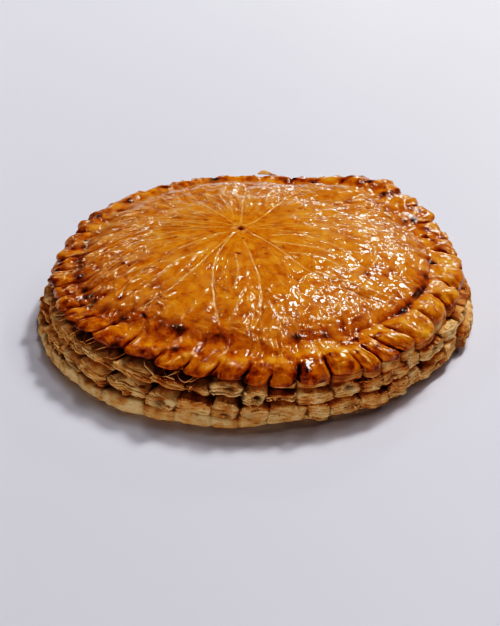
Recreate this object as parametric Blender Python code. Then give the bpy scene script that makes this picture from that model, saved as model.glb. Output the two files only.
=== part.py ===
# Galette des rois: a round puff pastry cake with a domed top, a rim of pinched lobes and a flaky side.
# It is baked in one piece and uncut, so it is one solid. Lengths are in millimetres until the last step.
# Angles are in degrees, counted from +X towards +Y. The front of the cake faces -Y.
import math
import random

import bmesh
import bpy
import numpy as np

MM = 0.001
SEED = 6

# Driving dimensions
DOME_TOP = 49.6          # table to the top of the dome
DOME_FOOT_RADIUS = 98.0  # where the dome meets the pinched rim
DOME_FOOT_HEIGHT = 34.2
DOME_POWER = 2.6         # higher is flatter on top and steeper at the foot
VENT = (-9.5, 4.0)       # the steam hole, left of the middle and a little behind it
VENT_RADIUS = 1.9
VENT_DEPTH = 5.0
VALLEY_DROP = 1.5        # the fold between dome and rim
VALLEY_WIDTH = 3.2
LIP_ROUND = 1.6          # height of the rounded lower edge of the glazed sheet
SLIT_DEPTH = 4.2         # knife notches between lobes, measured at the lip
SLIT_SPAN = (0.02, 0.60)  # shares of a lobe's length where its notch begins and is at its full depth
SEGMENT_SWELL = 0.7      # how far the dough rises between two scores
SCORE_WIDTH = 1.5
TRIANGLES = 11600        # what the faceted solid is thinned to
SOLE_BAND = 0.08         # points that thinning leaves this near the table are pressed flat onto it

# Sections through the rim, one row for each angle. After the angle: radius of the bottom sheet, the lower
# tier, the upper tier, the pale layer under the lip and the lip; then the heights of the seams between
# these, the height of the lip's lower edge and the height of the lobes' backs.
SECTIONS = (
    (0, 125.5, 124.0, 120.5, 116.5, 117.5, 5.0, 13.0, 19.5, 23.5, 32.0),
    (20, 123.0, 122.0, 120.5, 117.5, 118.5, 5.0, 13.0, 20.5, 26.0, 32.5),
    (36, 121.5, 122.0, 121.5, 120.5, 124.0, 5.5, 14.5, 24.0, 32.0, 40.0),
    (50, 121.0, 121.5, 121.5, 122.0, 128.0, 6.0, 15.5, 26.0, 35.0, 44.0),
    (62, 120.5, 121.0, 120.5, 120.0, 124.5, 6.0, 15.0, 24.5, 32.0, 41.0),
    (76, 120.5, 121.0, 120.0, 118.5, 120.5, 5.5, 14.5, 22.0, 27.0, 36.0),
    (110, 120.5, 121.0, 120.0, 117.5, 121.0, 5.0, 14.0, 21.5, 28.0, 38.0),
    (148, 121.0, 121.0, 119.5, 116.5, 120.0, 5.5, 13.5, 21.0, 28.0, 37.0),
    (168, 123.0, 121.5, 119.5, 115.5, 117.5, 6.0, 13.5, 21.0, 25.5, 33.5),
    (185, 125.5, 122.5, 119.5, 115.5, 117.5, 7.0, 14.0, 21.0, 25.0, 32.0),
    (208, 126.5, 123.5, 119.5, 114.5, 117.0, 8.0, 15.0, 22.5, 26.0, 32.0),
    (238, 128.5, 124.0, 119.8, 113.8, 116.0, 8.0, 15.5, 24.2, 26.5, 32.5),
    (262, 127.0, 123.5, 120.0, 116.5, 119.0, 6.5, 15.5, 23.0, 25.3, 33.0),
    (280, 120.5, 121.5, 120.0, 119.3, 120.8, 4.5, 12.0, 19.5, 23.2, 33.0),
    (300, 121.5, 122.0, 120.5, 120.0, 121.0, 4.0, 11.5, 19.5, 22.8, 33.0),
    (316, 118.0, 119.5, 118.0, 116.0, 117.5, 4.0, 11.5, 19.5, 22.8, 33.0),
    (332, 119.5, 120.0, 117.5, 113.5, 114.5, 4.2, 12.0, 19.3, 23.0, 32.5),
    (346, 124.5, 123.0, 119.0, 114.3, 115.5, 4.5, 12.5, 19.3, 23.5, 32.0),
)

# The rim's notches: runs of evenly spaced ones, as the angle of a run's first notch and how many it has
NOTCH_RUNS = ((185, 5), (222, 3), (252, 9), (316, 5), (366, 5), (412, 6), (465, 4), (497, 6), (545, 0))

# Knife scores in the dome. Each row has its angle about the vent at 20, 50 and 85 mm from it, the
# distances where it starts and ends, and its depth.
SCORES = (
    (245, 254, 263, 5, 94, 0.9),
    (279, 281, 277, 14, 100, 0.6),
    (313, 309, 314, 5, 104, 0.9),
    (358, 344, 327, 8, 84, 0.7),
    (16, 10.5, 8.5, 6, 97, 0.6),
    (30, 23, 16, 30, 92, 0.5),
    (52, 60, 60, 6, 96, 0.8),
    (88, 88, 86, 6, 86, 0.5),
    (121, 119, 114, 6, 84, 0.7),
    (148, 158, 156, 6, 92, 0.6),
    (168, 168, 171, 8, 86, 0.5),
    (174, 183, 186, 8, 84, 0.5),
    (203, 198, 204, 8, 86, 0.6),
    (211, 213, 221, 6, 90, 0.8),
    (240, 241, 234, 6, 92, 0.8),
)

# How the net of points is laid: columns to a lobe, and rings along each stretch of the section
LOBE_COLUMNS = 12
DOME_RINGS = 42
LOBE_RINGS = 12
LIP_RINGS = 3
TIER_RINGS = 6
BOTTOM_RINGS = 3


def notch_angles():
    """The angle of every notch, with the run's first angle repeated a turn later at the end."""
    rng = random.Random(SEED)
    angles = []
    for (first, count), (following, _) in zip(NOTCH_RUNS, NOTCH_RUNS[1:]):
        for step in range(count):
            jitter = rng.uniform(-0.7, 0.7) if step else 0.0
            angles.append(first + (following - first) * step / count + jitter)
    return np.array(angles + [NOTCH_RUNS[-1][0]])


def lobe_traits(count):
    """What differs from lobe to lobe: lift, reach, notch depth, lean of the notch and shift of each tier."""
    rng = random.Random(SEED + 1)

    def draw(low, high):
        return np.array([rng.uniform(low, high) for _ in range(count)])

    return {
        "lift": draw(-0.9, 1.1),
        "reach": draw(-1.1, 1.1),
        "notch": draw(0.75, 1.2),
        "lean": draw(-1.6, 1.6),
        "fullness": draw(2.4, 3.6),
        "upper_shift": draw(-1.5, 1.5),
        "lower_shift": draw(-1.8, 1.8),
        "upper_seam": draw(-0.8, 0.8),
        "middle_seam": draw(-1.2, 1.2),
        "lower_seam": draw(-0.7, 0.7),
    }


def smoothstep(low, high, value):
    t = np.clip((value - low) / (high - low), 0.0, 1.0)
    return t * t * (3.0 - 2.0 * t)


def section(column, degrees):
    """A column of SECTIONS at any angle, eased from row to row all the way round."""
    table = np.array(SECTIONS)
    angles = np.append(table[:, 0], 360.0)
    values = np.append(table[:, column], table[0, column])
    turned = np.mod(degrees, 360.0)
    row = np.clip(np.searchsorted(angles, turned, side="right") - 1, 0, len(table) - 1)
    t = (turned - angles[row]) / (angles[row + 1] - angles[row])
    return values[row] + (values[row + 1] - values[row]) * (0.35 * t + 0.65 * t * t * (3.0 - 2.0 * t))


def near_angle(degrees, middle, spread):
    """One at an angle, fading to nothing around it."""
    gap = (degrees - middle + 180.0) % 360.0 - 180.0
    return np.exp(-((gap / spread) ** 2))


def dome_height(x, y):
    """The domed top: its crown, the swell between scores, the scores and the vent."""
    share = np.hypot(x, y) / DOME_FOOT_RADIUS
    height = DOME_FOOT_HEIGHT + (DOME_TOP - DOME_FOOT_HEIGHT) * (1.0 - share**DOME_POWER)
    away = np.hypot(x - VENT[0], y - VENT[1])
    angle = np.degrees(np.arctan2(y - VENT[1], x - VENT[0]))
    nearest = np.full(x.shape, 1e3)
    cut = np.zeros(x.shape)
    for first, middle, last, start, end, depth in SCORES:
        t = np.clip((away - 20.0) / 65.0, -0.3, 1.3)
        bend = 30.0 / 65.0
        curve = (middle - first - bend * (last - first)) / (bend * (bend - 1.0))
        line = first + (last - first) * t + curve * t * (t - 1.0)
        gap = np.radians((angle - line + 180.0) % 360.0 - 180.0) * away
        present = smoothstep(start - 3.0, start + 5.0, away) * (1.0 - smoothstep(end - 10.0, end, away))
        cut = np.maximum(cut, depth * present * np.exp(-((gap / SCORE_WIDTH) ** 2)))
        nearest = np.minimum(nearest, np.abs(gap) + 12.0 * (1.0 - present))
    swell = SEGMENT_SWELL * (smoothstep(0.0, 9.0, nearest) - 0.5) * smoothstep(8.0, 30.0, away)
    vent = VENT_DEPTH * np.exp(-((away / VENT_RADIUS) ** 2))
    return height + swell * (1.0 - smoothstep(0.85, 1.0, share)) - cut - vent


def dome_ring(share, degrees):
    """Points on the dome, on rings that are centred on the vent and spread to the dome's foot."""
    radians = np.radians(degrees)
    x = VENT[0] * (1.0 - share) + DOME_FOOT_RADIUS * share * np.cos(radians)
    y = VENT[1] * (1.0 - share) + DOME_FOOT_RADIUS * share * np.sin(radians)
    blister = near_angle(degrees, 50.0, 22.0)
    foot = VALLEY_DROP * (1.0 - blister) * smoothstep(1.0 - VALLEY_WIDTH / DOME_FOOT_RADIUS, 1.0, share)
    raised = 3.0 * blister * smoothstep(0.6, 1.0, share)
    return x, y, dome_height(x, y) - foot + raised


def lobe_ring(along, degrees, across, traits):
    """Points on the lobes' glazed backs, from the dome's foot at 0 to the lip at 1."""
    blister = near_angle(degrees, 50.0, 22.0)
    lip = section(5, degrees) + traits["reach"]
    low, back = section(9, degrees), section(10, degrees) + traits["lift"]
    turn = along * math.pi / 2.0
    radius = DOME_FOOT_RADIUS + (lip - DOME_FOOT_RADIUS) * np.sin(turn) ** 0.95
    height = low + (back - low) * np.cos(turn) ** 0.85
    start = DOME_FOOT_HEIGHT - VALLEY_DROP * (1.0 - blister) + 3.0 * blister
    joined = 1.0 - smoothstep(0.0, 0.32, along)
    height = height + (start - back) * joined
    edge = np.abs(across) ** traits["fullness"]
    depth = SLIT_DEPTH * traits["notch"] * smoothstep(*SLIT_SPAN, along) * edge
    radius = radius - depth * np.sin(turn) ** 2
    return radius, height - depth * np.cos(turn) ** 0.7 * (1.0 - 0.3 * along)


def side_ring(tier, down, degrees, across, traits):
    """Points on the side. Tier 0 is the pale layer under the lip, 3 the bottom sheet; down runs 0 to 1."""
    seams = [section(9, degrees), section(8, degrees), section(7, degrees), section(6, degrees), 0.0]
    for number, name in ((1, "upper_seam"), (2, "middle_seam"), (3, "lower_seam")):
        seams[number] = seams[number] + traits[name]
    torn = near_angle(degrees, 225.0, 50.0)  # the front left side opened most, so its tiers stand apart
    above = (0.8, 3.2, 1.0 + 2.2 * torn, 1.4)[tier]
    below = (1.2, 1.0 + 2.2 * torn, 1.6, 1.6)[tier]
    crease = (2.6, 3.6, 3.2, 0.9)[tier]
    radius = section(4 - tier, degrees)
    radius = radius + traits["reach"] * (0.8, 0.5, 0.3, 0.0)[tier]
    height = seams[tier] + (seams[tier + 1] - seams[tier]) * down
    sharp = np.abs(2.0 * down - 1.0) ** 3.5
    bulge = np.where(down < 0.5, above, below)
    groove = crease * np.abs(across) ** traits["fullness"] * (1.0 - 0.35 * sharp)
    return radius - bulge * sharp - groove, height


def stretches():
    """The section from the vent over the dome, lobe, lip and tiers to the bottom: a kind and a share each."""
    rings = [("dome", (i / DOME_RINGS) ** 0.9) for i in range(DOME_RINGS)]
    rings += [("lobe", i / LOBE_RINGS) for i in range(LOBE_RINGS + 1)]
    rings += [("lip", (i + 1) / LIP_RINGS) for i in range(LIP_RINGS)]
    for tier in range(4):
        rings += [(tier, (i + 0.5) / TIER_RINGS) for i in range(TIER_RINGS)]
    rings += [("bottom", i / BOTTOM_RINGS) for i in range(BOTTOM_RINGS + 1)]
    return rings


def spun_net(columns, rings):
    """A flat net of rings about one point, whose points are then moved into place. Radius counts rings."""
    mesh = bmesh.new()
    line = [mesh.verts.new((float(i), 0.0, 0.0)) for i in range(rings)]
    edges = [mesh.edges.new(pair) for pair in zip(line, line[1:])]
    bmesh.ops.spin(
        mesh, geom=line + edges, cent=(0, 0, 0), axis=(0, 0, 1), angle=2.0 * math.pi, steps=columns, use_merge=True
    )
    bmesh.ops.remove_doubles(mesh, verts=mesh.verts, dist=1e-4)
    return mesh


def place(ring_numbers, turns, notches):
    """The place of every point of the net, from its ring number and its turn about the centre."""
    count = len(notches) - 1
    traits = lobe_traits(count)
    walk = turns * count
    lobe = np.floor(walk + 1e-6).astype(int) % count
    share = walk - np.floor(walk + 1e-6)
    width = notches[lobe + 1] - notches[lobe]
    across = 2.0 * share - 1.0
    own = {name: values[lobe] for name, values in traits.items()}
    for name in ("reach", "lift", "notch", "upper_seam", "middle_seam", "lower_seam"):
        following = traits[name][(lobe + 1) % count]
        previous = traits[name][(lobe - 1) % count]
        other = np.where(across > 0, following, previous)
        own[name] = own[name] + (other - own[name]) * 0.5 * np.abs(across) ** 3
    out = np.zeros((len(turns), 3))
    rings = stretches()
    for number, (kind, amount) in enumerate(rings):
        here = ring_numbers == number
        mine = {name: values[here] for name, values in own.items()}
        notch_shift = {1: "upper_shift", 2: "lower_shift", 3: "lower_shift"}.get(kind)
        degrees = notches[lobe[here]] + share[here] * width[here]
        leans = traits["lean"] if notch_shift is None else traits[notch_shift]
        if kind != "dome" and kind != "bottom":
            start_lean, end_lean = leans[lobe[here]], leans[(lobe[here] + 1) % count]
            strength = amount if kind == "lobe" else 1.0
            degrees = degrees + strength * (start_lean + (end_lean - start_lean) * share[here])
        if kind == "dome":
            out[here] = np.stack(dome_ring(amount, degrees), axis=1)
            continue
        if kind == "lobe":
            radius, height = lobe_ring(amount, degrees, across[here], mine)
        elif kind == "lip":
            radius, height = lobe_ring(1.0, degrees, across[here], mine)
            inner = side_ring(0, 0.1, degrees, across[here], mine)[0]
            radius = radius + (np.minimum(inner, radius - 0.6) - radius) * amount**2
            height = height - LIP_ROUND * math.sin(amount * math.pi / 2.0) * 0.55
        elif kind == "bottom":
            radius, height = side_ring(3, 1.0, degrees, across[here], mine)
            radius = radius * (1.0 - amount)
            height = height * 0.0
        else:
            radius, height = side_ring(kind, amount, degrees, across[here], mine)
            if kind == 0:
                height = np.minimum(height, section(9, degrees) - LIP_ROUND * 0.6)
        radians = np.radians(degrees)
        out[here] = np.stack((radius * np.cos(radians), radius * np.sin(radians), height), axis=1)
    return out


def crust_material():
    material = bpy.data.materials.new("glazed_pastry")
    material.use_nodes = True
    shader = material.node_tree.nodes["Principled BSDF"]
    shader.inputs["Base Color"].default_value = (0.56, 0.22, 0.03, 1.0)
    shader.inputs["Roughness"].default_value = 0.28
    shader.inputs["Metallic"].default_value = 0.0
    return material


def thinned(cake, faces):
    """The cake's mesh with few triangles, its sole flat on the table and its box centred over the origin."""
    thin = cake.modifiers.new("thin", "DECIMATE")
    thin.ratio = TRIANGLES / faces
    evaluated = cake.evaluated_get(bpy.context.evaluated_depsgraph_get())
    mesh = bpy.data.meshes.new_from_object(evaluated)
    cake.modifiers.remove(thin)
    points = np.zeros(len(mesh.vertices) * 3)
    mesh.vertices.foreach_get("co", points)
    points = points.reshape(-1, 3)
    points[points[:, 2] < SOLE_BAND * MM, 2] = 0.0
    points[:, :2] -= (points[:, :2].max(axis=0) + points[:, :2].min(axis=0)) / 2.0
    mesh.vertices.foreach_set("co", points.ravel())
    return mesh


def galette():
    """The whole cake: a net moved into place and thinned to a faceted solid."""
    notches = notch_angles()
    columns = (len(notches) - 1) * LOBE_COLUMNS
    net = spun_net(columns, len(stretches()))
    flat = np.array([v.co for v in net.verts])
    ring_numbers = np.rint(np.hypot(flat[:, 0], flat[:, 1])).astype(int)
    turns = np.mod(np.arctan2(flat[:, 1], flat[:, 0]) / (2.0 * math.pi) + 1e-7, 1.0)
    placed = place(ring_numbers, turns, notches)
    for vert, point in zip(net.verts, placed):
        vert.co = point * MM
    last = max(ring_numbers)
    bmesh.ops.remove_doubles(net, verts=[v for v, n in zip(net.verts, ring_numbers) if n == last], dist=1e-6)
    bmesh.ops.recalc_face_normals(net, faces=net.faces)
    bmesh.ops.triangulate(net, faces=net.faces)
    mesh = bpy.data.meshes.new("galette")
    net.to_mesh(mesh)
    faces = len(net.faces)
    net.free()
    cake = bpy.data.objects.new("galette", mesh)
    bpy.context.scene.collection.objects.link(cake)
    mesh.materials.append(crust_material())
    cake.data = thinned(cake, faces)
    bpy.data.meshes.remove(mesh)
    cake.data.name = cake.name
    cake.data.shade_smooth()
    return cake


for old in list(bpy.data.objects):
    bpy.data.objects.remove(old)
galette()
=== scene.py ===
import math
import random

import bmesh
import bpy
import numpy as np
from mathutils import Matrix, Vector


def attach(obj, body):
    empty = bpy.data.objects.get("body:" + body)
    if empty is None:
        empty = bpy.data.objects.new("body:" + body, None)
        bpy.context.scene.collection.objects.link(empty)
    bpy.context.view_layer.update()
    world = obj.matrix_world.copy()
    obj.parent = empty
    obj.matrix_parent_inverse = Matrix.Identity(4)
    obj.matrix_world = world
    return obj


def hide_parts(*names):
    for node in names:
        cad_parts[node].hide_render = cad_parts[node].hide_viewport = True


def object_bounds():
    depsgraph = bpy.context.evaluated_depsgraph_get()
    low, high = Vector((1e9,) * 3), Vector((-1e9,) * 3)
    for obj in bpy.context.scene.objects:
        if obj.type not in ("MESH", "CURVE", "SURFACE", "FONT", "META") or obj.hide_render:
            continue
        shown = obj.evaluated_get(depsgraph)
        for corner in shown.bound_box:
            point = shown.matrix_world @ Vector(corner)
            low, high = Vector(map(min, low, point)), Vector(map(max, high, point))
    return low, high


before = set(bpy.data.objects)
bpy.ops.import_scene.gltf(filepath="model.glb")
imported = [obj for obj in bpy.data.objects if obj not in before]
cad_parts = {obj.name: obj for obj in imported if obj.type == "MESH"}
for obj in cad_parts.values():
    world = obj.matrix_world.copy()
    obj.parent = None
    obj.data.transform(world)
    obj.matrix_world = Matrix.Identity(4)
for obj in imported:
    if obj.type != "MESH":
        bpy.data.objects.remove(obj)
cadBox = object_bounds()
print("frame loaded")

# Galette des rois: a glazed dome, a rim of pinched lobes and a side of torn, layered dough.
# Lengths in the dictionaries are millimetres. Angles are degrees, counted from +X towards +Y.
# The front of the cake faces -Y, and +X is on the right of the picture.
mm = 0.001

cakeForm = {
    "seed": 6,
    "boxMiddle": (0.39, -2.28),     # middle of the box round the form, which the frame puts over the origin
    "domeTop": 49.6,
    "footRadius": 98.0,             # where the dome meets the rim
    "footHeight": 34.2,
    "domePower": 2.6,
    "vent": (-9.5, 4.0),
    "ventRadius": 2.0,
    "ventDepth": 4.5,
    "valleyDrop": 1.5,
    "valleyWidth": 3.2,
    "raisedShare": 0.85,            # of the rim's height above the foot, at the back
    "swell": 0.7,
    "columns": (
        "angle", "sheet", "lowerTier", "upperTier", "paleLayer", "lip",     # an angle and radii
        "lowerSeam", "middleSeam", "upperSeam", "lipFoot", "lobeBack",      # and heights
    ),
    "sections": (
        (0, 125.5, 124.0, 120.5, 116.5, 117.5, 5.0, 13.0, 19.5, 23.5, 32.0),
        (20, 123.0, 122.0, 120.5, 117.5, 118.5, 5.0, 13.0, 20.5, 26.0, 32.5),
        (36, 121.5, 122.0, 121.5, 120.5, 124.0, 5.5, 14.5, 24.0, 32.0, 40.0),
        (50, 121.0, 121.5, 121.5, 122.0, 128.0, 6.0, 15.5, 26.0, 35.0, 44.0),
        (62, 120.5, 121.0, 120.5, 120.0, 124.5, 6.0, 15.0, 24.5, 32.0, 41.0),
        (76, 120.5, 121.0, 120.0, 118.5, 120.5, 5.5, 14.5, 22.0, 27.0, 36.0),
        (110, 120.5, 121.0, 120.0, 117.5, 121.0, 5.0, 14.0, 21.5, 28.0, 38.0),
        (148, 121.0, 121.0, 119.5, 116.5, 120.0, 5.5, 13.5, 21.0, 28.0, 37.0),
        (168, 123.0, 121.5, 119.5, 115.5, 117.5, 6.0, 13.5, 21.0, 25.5, 33.5),
        (185, 125.5, 122.5, 119.5, 115.5, 117.5, 7.0, 14.0, 21.0, 25.0, 32.0),
        (208, 126.5, 123.5, 119.5, 114.5, 117.0, 8.0, 15.0, 22.5, 26.0, 32.0),
        (238, 128.5, 124.0, 119.8, 113.8, 116.0, 8.0, 15.5, 24.2, 26.5, 32.5),
        (262, 127.0, 123.5, 120.0, 116.5, 119.0, 6.5, 15.5, 23.0, 25.3, 33.0),
        (280, 120.5, 121.5, 120.0, 119.3, 120.8, 4.5, 12.0, 19.5, 23.2, 33.0),
        (300, 121.5, 122.0, 120.5, 120.0, 121.0, 4.0, 11.5, 19.5, 22.8, 33.0),
        (316, 118.0, 119.5, 118.0, 116.0, 117.5, 4.0, 11.5, 19.5, 22.8, 33.0),
        (332, 119.5, 120.0, 117.5, 113.5, 114.5, 4.2, 12.0, 19.3, 23.0, 32.5),
        (346, 124.5, 123.0, 119.0, 114.3, 115.5, 4.5, 12.5, 19.3, 23.5, 32.0),
    ),
    # What differs from lobe to lobe, at least and at most: heights, lengths, shares and degrees
    "lobes": {
        "lift": (-0.9, 1.1), "reach": (-1.1, 1.1), "notch": (0.75, 1.2), "lean": (-1.6, 1.6),
        "fullness": (2.4, 3.6), "upperShift": (-1.5, 1.5), "lowerShift": (-1.8, 1.8),
        "upperSeam": (-0.8, 0.8), "middleSeam": (-1.2, 1.2), "lowerSeam": (-0.7, 0.7),
        "tilt": (-1.0, 1.0), "fold": (-0.6, 0.6),
    },
    # Where runs of evenly cut notches start, and how many lobes each has
    "notchRuns": ((185, 5), (222, 3), (252, 9), (316, 5), (366, 5), (412, 6), (465, 4), (497, 6), (545, 0)),
    # Knife scores: angle about the vent at three distances from it, where the cut starts and ends, its depth
    "scoreSpots": (20.0, 50.0, 85.0),
    "scores": (
        (245, 254, 263, 5, 94, 0.9), (279, 281, 277, 14, 100, 0.6), (313, 309, 314, 5, 104, 0.9),
        (358, 344, 327, 8, 84, 0.7), (16, 10.5, 8.5, 6, 97, 0.6), (30, 23, 16, 30, 92, 0.5),
        (52, 60, 60, 6, 96, 0.8), (88, 88, 86, 6, 86, 0.5), (121, 119, 114, 6, 84, 0.7),
        (148, 158, 156, 6, 92, 0.6), (168, 168, 171, 8, 86, 0.5), (174, 183, 186, 8, 84, 0.5),
        (203, 198, 204, 8, 86, 0.6), (211, 213, 221, 6, 90, 0.8), (240, 241, 234, 6, 92, 0.8),
    ),
}


def smoothStep(low, high, value):
    t = np.clip((value - low) / (high - low), 0.0, 1.0)
    return t * t * (3.0 - 2.0 * t)


def wrapped(degrees):  # an angle as one from -180 to 180
    return (degrees + 180.0) % 360.0 - 180.0


def angleOf(x, y):
    return np.degrees(np.arctan2(y, x))


def bell(value, middle, spread):
    return np.exp(-(((value - middle) / spread) ** 2))


def nearAngle(degrees, middle, spread):  # one at an angle, fading to nothing around it
    return bell(wrapped(degrees - middle), 0.0, spread)


def between(degrees, first, last, soft):  # one from an angle on to another, easing in and out
    half = (last - first) % 360.0 / 2.0
    return smoothStep(-soft, soft, half - np.abs(wrapped(degrees - first - half)))


def sectionAt(name, degrees):  # a column of the section table at any angle, eased from row to row
    table = np.array(cakeForm["sections"])
    column = table[:, cakeForm["columns"].index(name)]
    angles = np.append(table[:, 0], 360.0)
    values = np.append(column, column[0])
    turned = np.mod(degrees, 360.0)
    row = np.clip(np.searchsorted(angles, turned, side="right") - 1, 0, len(table) - 1)
    t = (turned - angles[row]) / (angles[row + 1] - angles[row])
    return values[row] + (values[row + 1] - values[row]) * (0.35 * t + 0.65 * t * t * (3.0 - 2.0 * t))


def notchAngles():
    rng = random.Random(cakeForm["seed"])
    angles = []
    runs = cakeForm["notchRuns"]
    for (first, count), (following, _) in zip(runs, runs[1:]):
        for step in range(count):
            jitter = rng.uniform(-0.7, 0.7) if step else 0.0
            angles.append(first + (following - first) * step / count + jitter)
    return np.array(angles + [runs[-1][0]])


def drawn(rng, span, count):  # seeded numbers between two
    return np.array([rng.uniform(*span) for _ in range(count)])


def lobeTraits(count):
    rng = random.Random(cakeForm["seed"] + 1)
    return {name: drawn(rng, span, count) for name, span in cakeForm["lobes"].items()}


notches = notchAngles()
lobeCount = len(notches) - 1
traits = lobeTraits(lobeCount)


def randomCells(cells, seed):  # one well mixed whole number for each cell of a lattice
    mixed = cells[:, 0] * 374761393 + cells[:, 1] * 668265263 + cells[:, 2] * 1442695041 + seed * 362437
    mixed = (mixed ^ (mixed >> 13)) & 0xFFFFFFFF
    mixed = (mixed * 1274126177) & 0xFFFFFFFF
    return mixed ^ (mixed >> 16)


def waves(points, size, seed):  # smooth random waves from about -1 to 1, roughly a size apart
    spot = points / size + seed * 7.31
    cell = np.floor(spot).astype(np.int64)
    inside = spot - cell
    ease = inside**3 * (inside * (inside * 6.0 - 15.0) + 10.0)
    total = np.zeros(len(points))
    for corner in np.ndindex(2, 2, 2):
        mixed = randomCells(cell + np.array(corner), seed)
        slope = np.stack([(mixed >> shift & 1023) / 511.5 - 1.0 for shift in (0, 10, 20)], axis=1)
        weight = np.prod(np.where(corner, ease, 1.0 - ease), axis=1)
        total += weight * np.sum(slope * (inside - np.array(corner)), axis=1)
    return total * 1.5


def ridges(points, size, seed):  # narrow crests on level ground, from 0 to 1
    return np.clip(1.0 - 2.6 * np.abs(waves(points, size, seed)), 0.0, 1.0) ** 2


def bands(points, pairs, seed, kind=waves):  # waves or ridges of several wave lengths and heights
    return sum(high * kind(points, size, seed + n) for n, (size, high) in enumerate(pairs))


def triples(x, y, z):  # points from three rows of numbers, any of which may be a single number
    return np.stack(np.broadcast_arrays(x, y, z), axis=1)


def onRing(turn, radius, height):  # points from angles in radians, distances from the middle and heights
    return triples(radius * np.cos(turn), radius * np.sin(turn), height)


# The baked surface of the glazed crust, for the dome and the rim alike
crustRelief = {
    "seed": 21,
    "reach": 121.0,                  # bubbles and pits lie within this radius
    "bend": (11.0, 1.3),             # wave length and height of the drift that bends every line
    "lumps": ((16.0, 0.42), (8.0, 0.26)),
    "wrinkles": ((5.0, 0.20), (2.8, 0.08), (1.5, 0.03)),    # wave length and height, where the crust wrinkles
    "creases": ((10.5, 0.75), (5.2, 0.15)),                 # wave length and depth of its sharp puckers
    "leastCrease": 0.32,             # share of the puckers that the smooth parts keep
    "scoreWidth": 0.5,
    "flowHeight": 0.34,              # drawn out folds on the right
    "pinchDepth": 1.1,               # creases that run from the cuts of the rim in towards the dome
    "pinchWidth": 1.5,
    "scorchHeight": 0.5,             # share of the heights in the list below
    "scoreLip": 0.04,
    "scoreDepth": 0.6,               # share of the depths in the form's list
    "rayHeight": 0.74,               # fine ridges that run out from the vent
    "rayCount": 60,
    "hoopHeight": 0.34,              # folds that run round the dome's foot
    "skinHeight": 0.24,              # fine, wandering wrinkles all over the dome
    "crumpleHeight": 2.0,            # puckers round the steam hole
    "veinHeight": 0.30,
    # Fine raised lines: distance from the vent and angle about it at a few places
    "veins": (
        ((40, 313), (50, 320), (58, 323), (69, 323)),
        ((24, 316), (37, 327), (51, 331), (60, 331)),
        ((20, 334), (32, 344), (43, 346)),
        ((76, 349), (79, 341), (80, 333)),
        ((59, 22.5), (67, 22.6), (76, 20), (86, 16)),
        ((62, 311), (65, 300)),
        ((31, 193), (43, 190), (55, 187)),
        ((62, 311), (82, 318), (96, 322)),
        ((37, 231), (44, 227), (52, 226)),
        ((33, 265), (47, 269), (64, 268)),
        ((40, 70), (58, 74), (74, 73)),
        ((28, 103), (47, 105), (66, 101)),
        ((30, 135), (52, 139), (74, 136)),
    ),
    # Scorched blisters: distance from the vent, angle about it, length round the cake, width, height and how
    # black
    "scorches": (
        (97, 137, 9, 4, 0.7, 0.8), (92, 169, 5, 3, 0.6, 0.7), (92, 173, 4, 3, 0.5, 0.6),
        (103, 182, 5, 3, 0.4, 0.6), (91, 187, 9, 7, 0.8, 0.75), (92, 198, 5, 4, 0.7, 0.8),
        (94, 206, 5, 3.5, 0.7, 0.7), (95, 212, 7, 4, 0.8, 0.7), (70, 204, 3, 2.4, 0.4, 0.8),
        (86, 223, 2.4, 2.0, 0.4, 0.9), (91, 237, 3.2, 2.6, 0.6, 0.5), (95, 232, 7, 2.4, 0.5, 0.5),
        (94, 251, 9, 4.2, 1.0, 0.6), (97, 264, 7, 4.0, 1.0, 0.6), (101, 287, 6, 3.6, 1.1, 0.5),
        (104, 295, 5, 3.2, 0.9, 0.5), (111, 302, 6, 2.6, 0.8, 0.6), (115, 308, 5, 2.2, 0.6, 0.6),
        (108, 323, 8, 1.8, 0.5, 0.7), (106, 332, 7, 1.8, 0.5, 0.7), (106, 343, 8, 1.8, 0.5, 0.8),
        (110, 354, 6, 2.0, 0.5, 0.8), (113, 38, 5, 3.6, 0.8, 0.9), (116, 47, 7, 4, 0.6, 0.8),
        (117, 54, 8, 4, 0.5, 0.8), (106, 23, 4.4, 3, 0.6, 0.9), (112, 23, 4, 3, 0.5, 0.8),
        (113, 12, 7, 2.6, 0.4, 0.7), (81, 327, 4, 3, 0.5, 0.5), (113, 330, 2.6, 2, 0.4, 0.6),
        (117, 293, 1.8, 1.6, 0.3, 0.8), (120, 300, 2.4, 1.8, 0.4, 0.7), (121, 305, 2.2, 1.8, 0.4, 0.7),
        (123, 286, 1.6, 1.4, 0.3, 0.7), (31, 268, 2.6, 1.2, 0.1, 0.8), (100, 120, 5, 3, 0.5, 0.7),
        (102, 100, 4, 3, 0.5, 0.7), (108, 72, 5, 3, 0.5, 0.7), (98, 152, 4, 3, 0.5, 0.7),
    ),
    "bubbles": 420,                  # small bubbles, scattered over the whole top
    "bubbleHeight": 0.26,            # as a share of a bubble's radius
    "pits": 70,                      # and small, scorched pits
    "pitDepth": 0.5,
    "brown": 0.31,                   # how brown the crust is where nothing else browns it
    "brownFoot": 0.08,               # and how much more near the dome's foot
}


def openFold(degrees):  # where the fold at the dome's foot stands open; elsewhere the crust flows across it
    ring = onRing(np.radians(degrees), cakeForm["footRadius"], 0.0)
    broken = smoothStep(-0.5, 0.1, waves(ring, 15.0, crustRelief["seed"] + 33))
    return 0.12 + 0.88 * between(degrees, -62.0, 24.0, 9.0) * (0.35 + 0.65 * broken)


def aboutVent(x, y):
    dx, dy = x - cakeForm["vent"][0], y - cakeForm["vent"][1]
    return np.hypot(dx, dy), angleOf(dx, dy)


def fromVent(distance, angle):
    turn = math.radians(angle)
    return (cakeForm["vent"][0] + distance * math.cos(turn), cakeForm["vent"][1] + distance * math.sin(turn))


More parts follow.
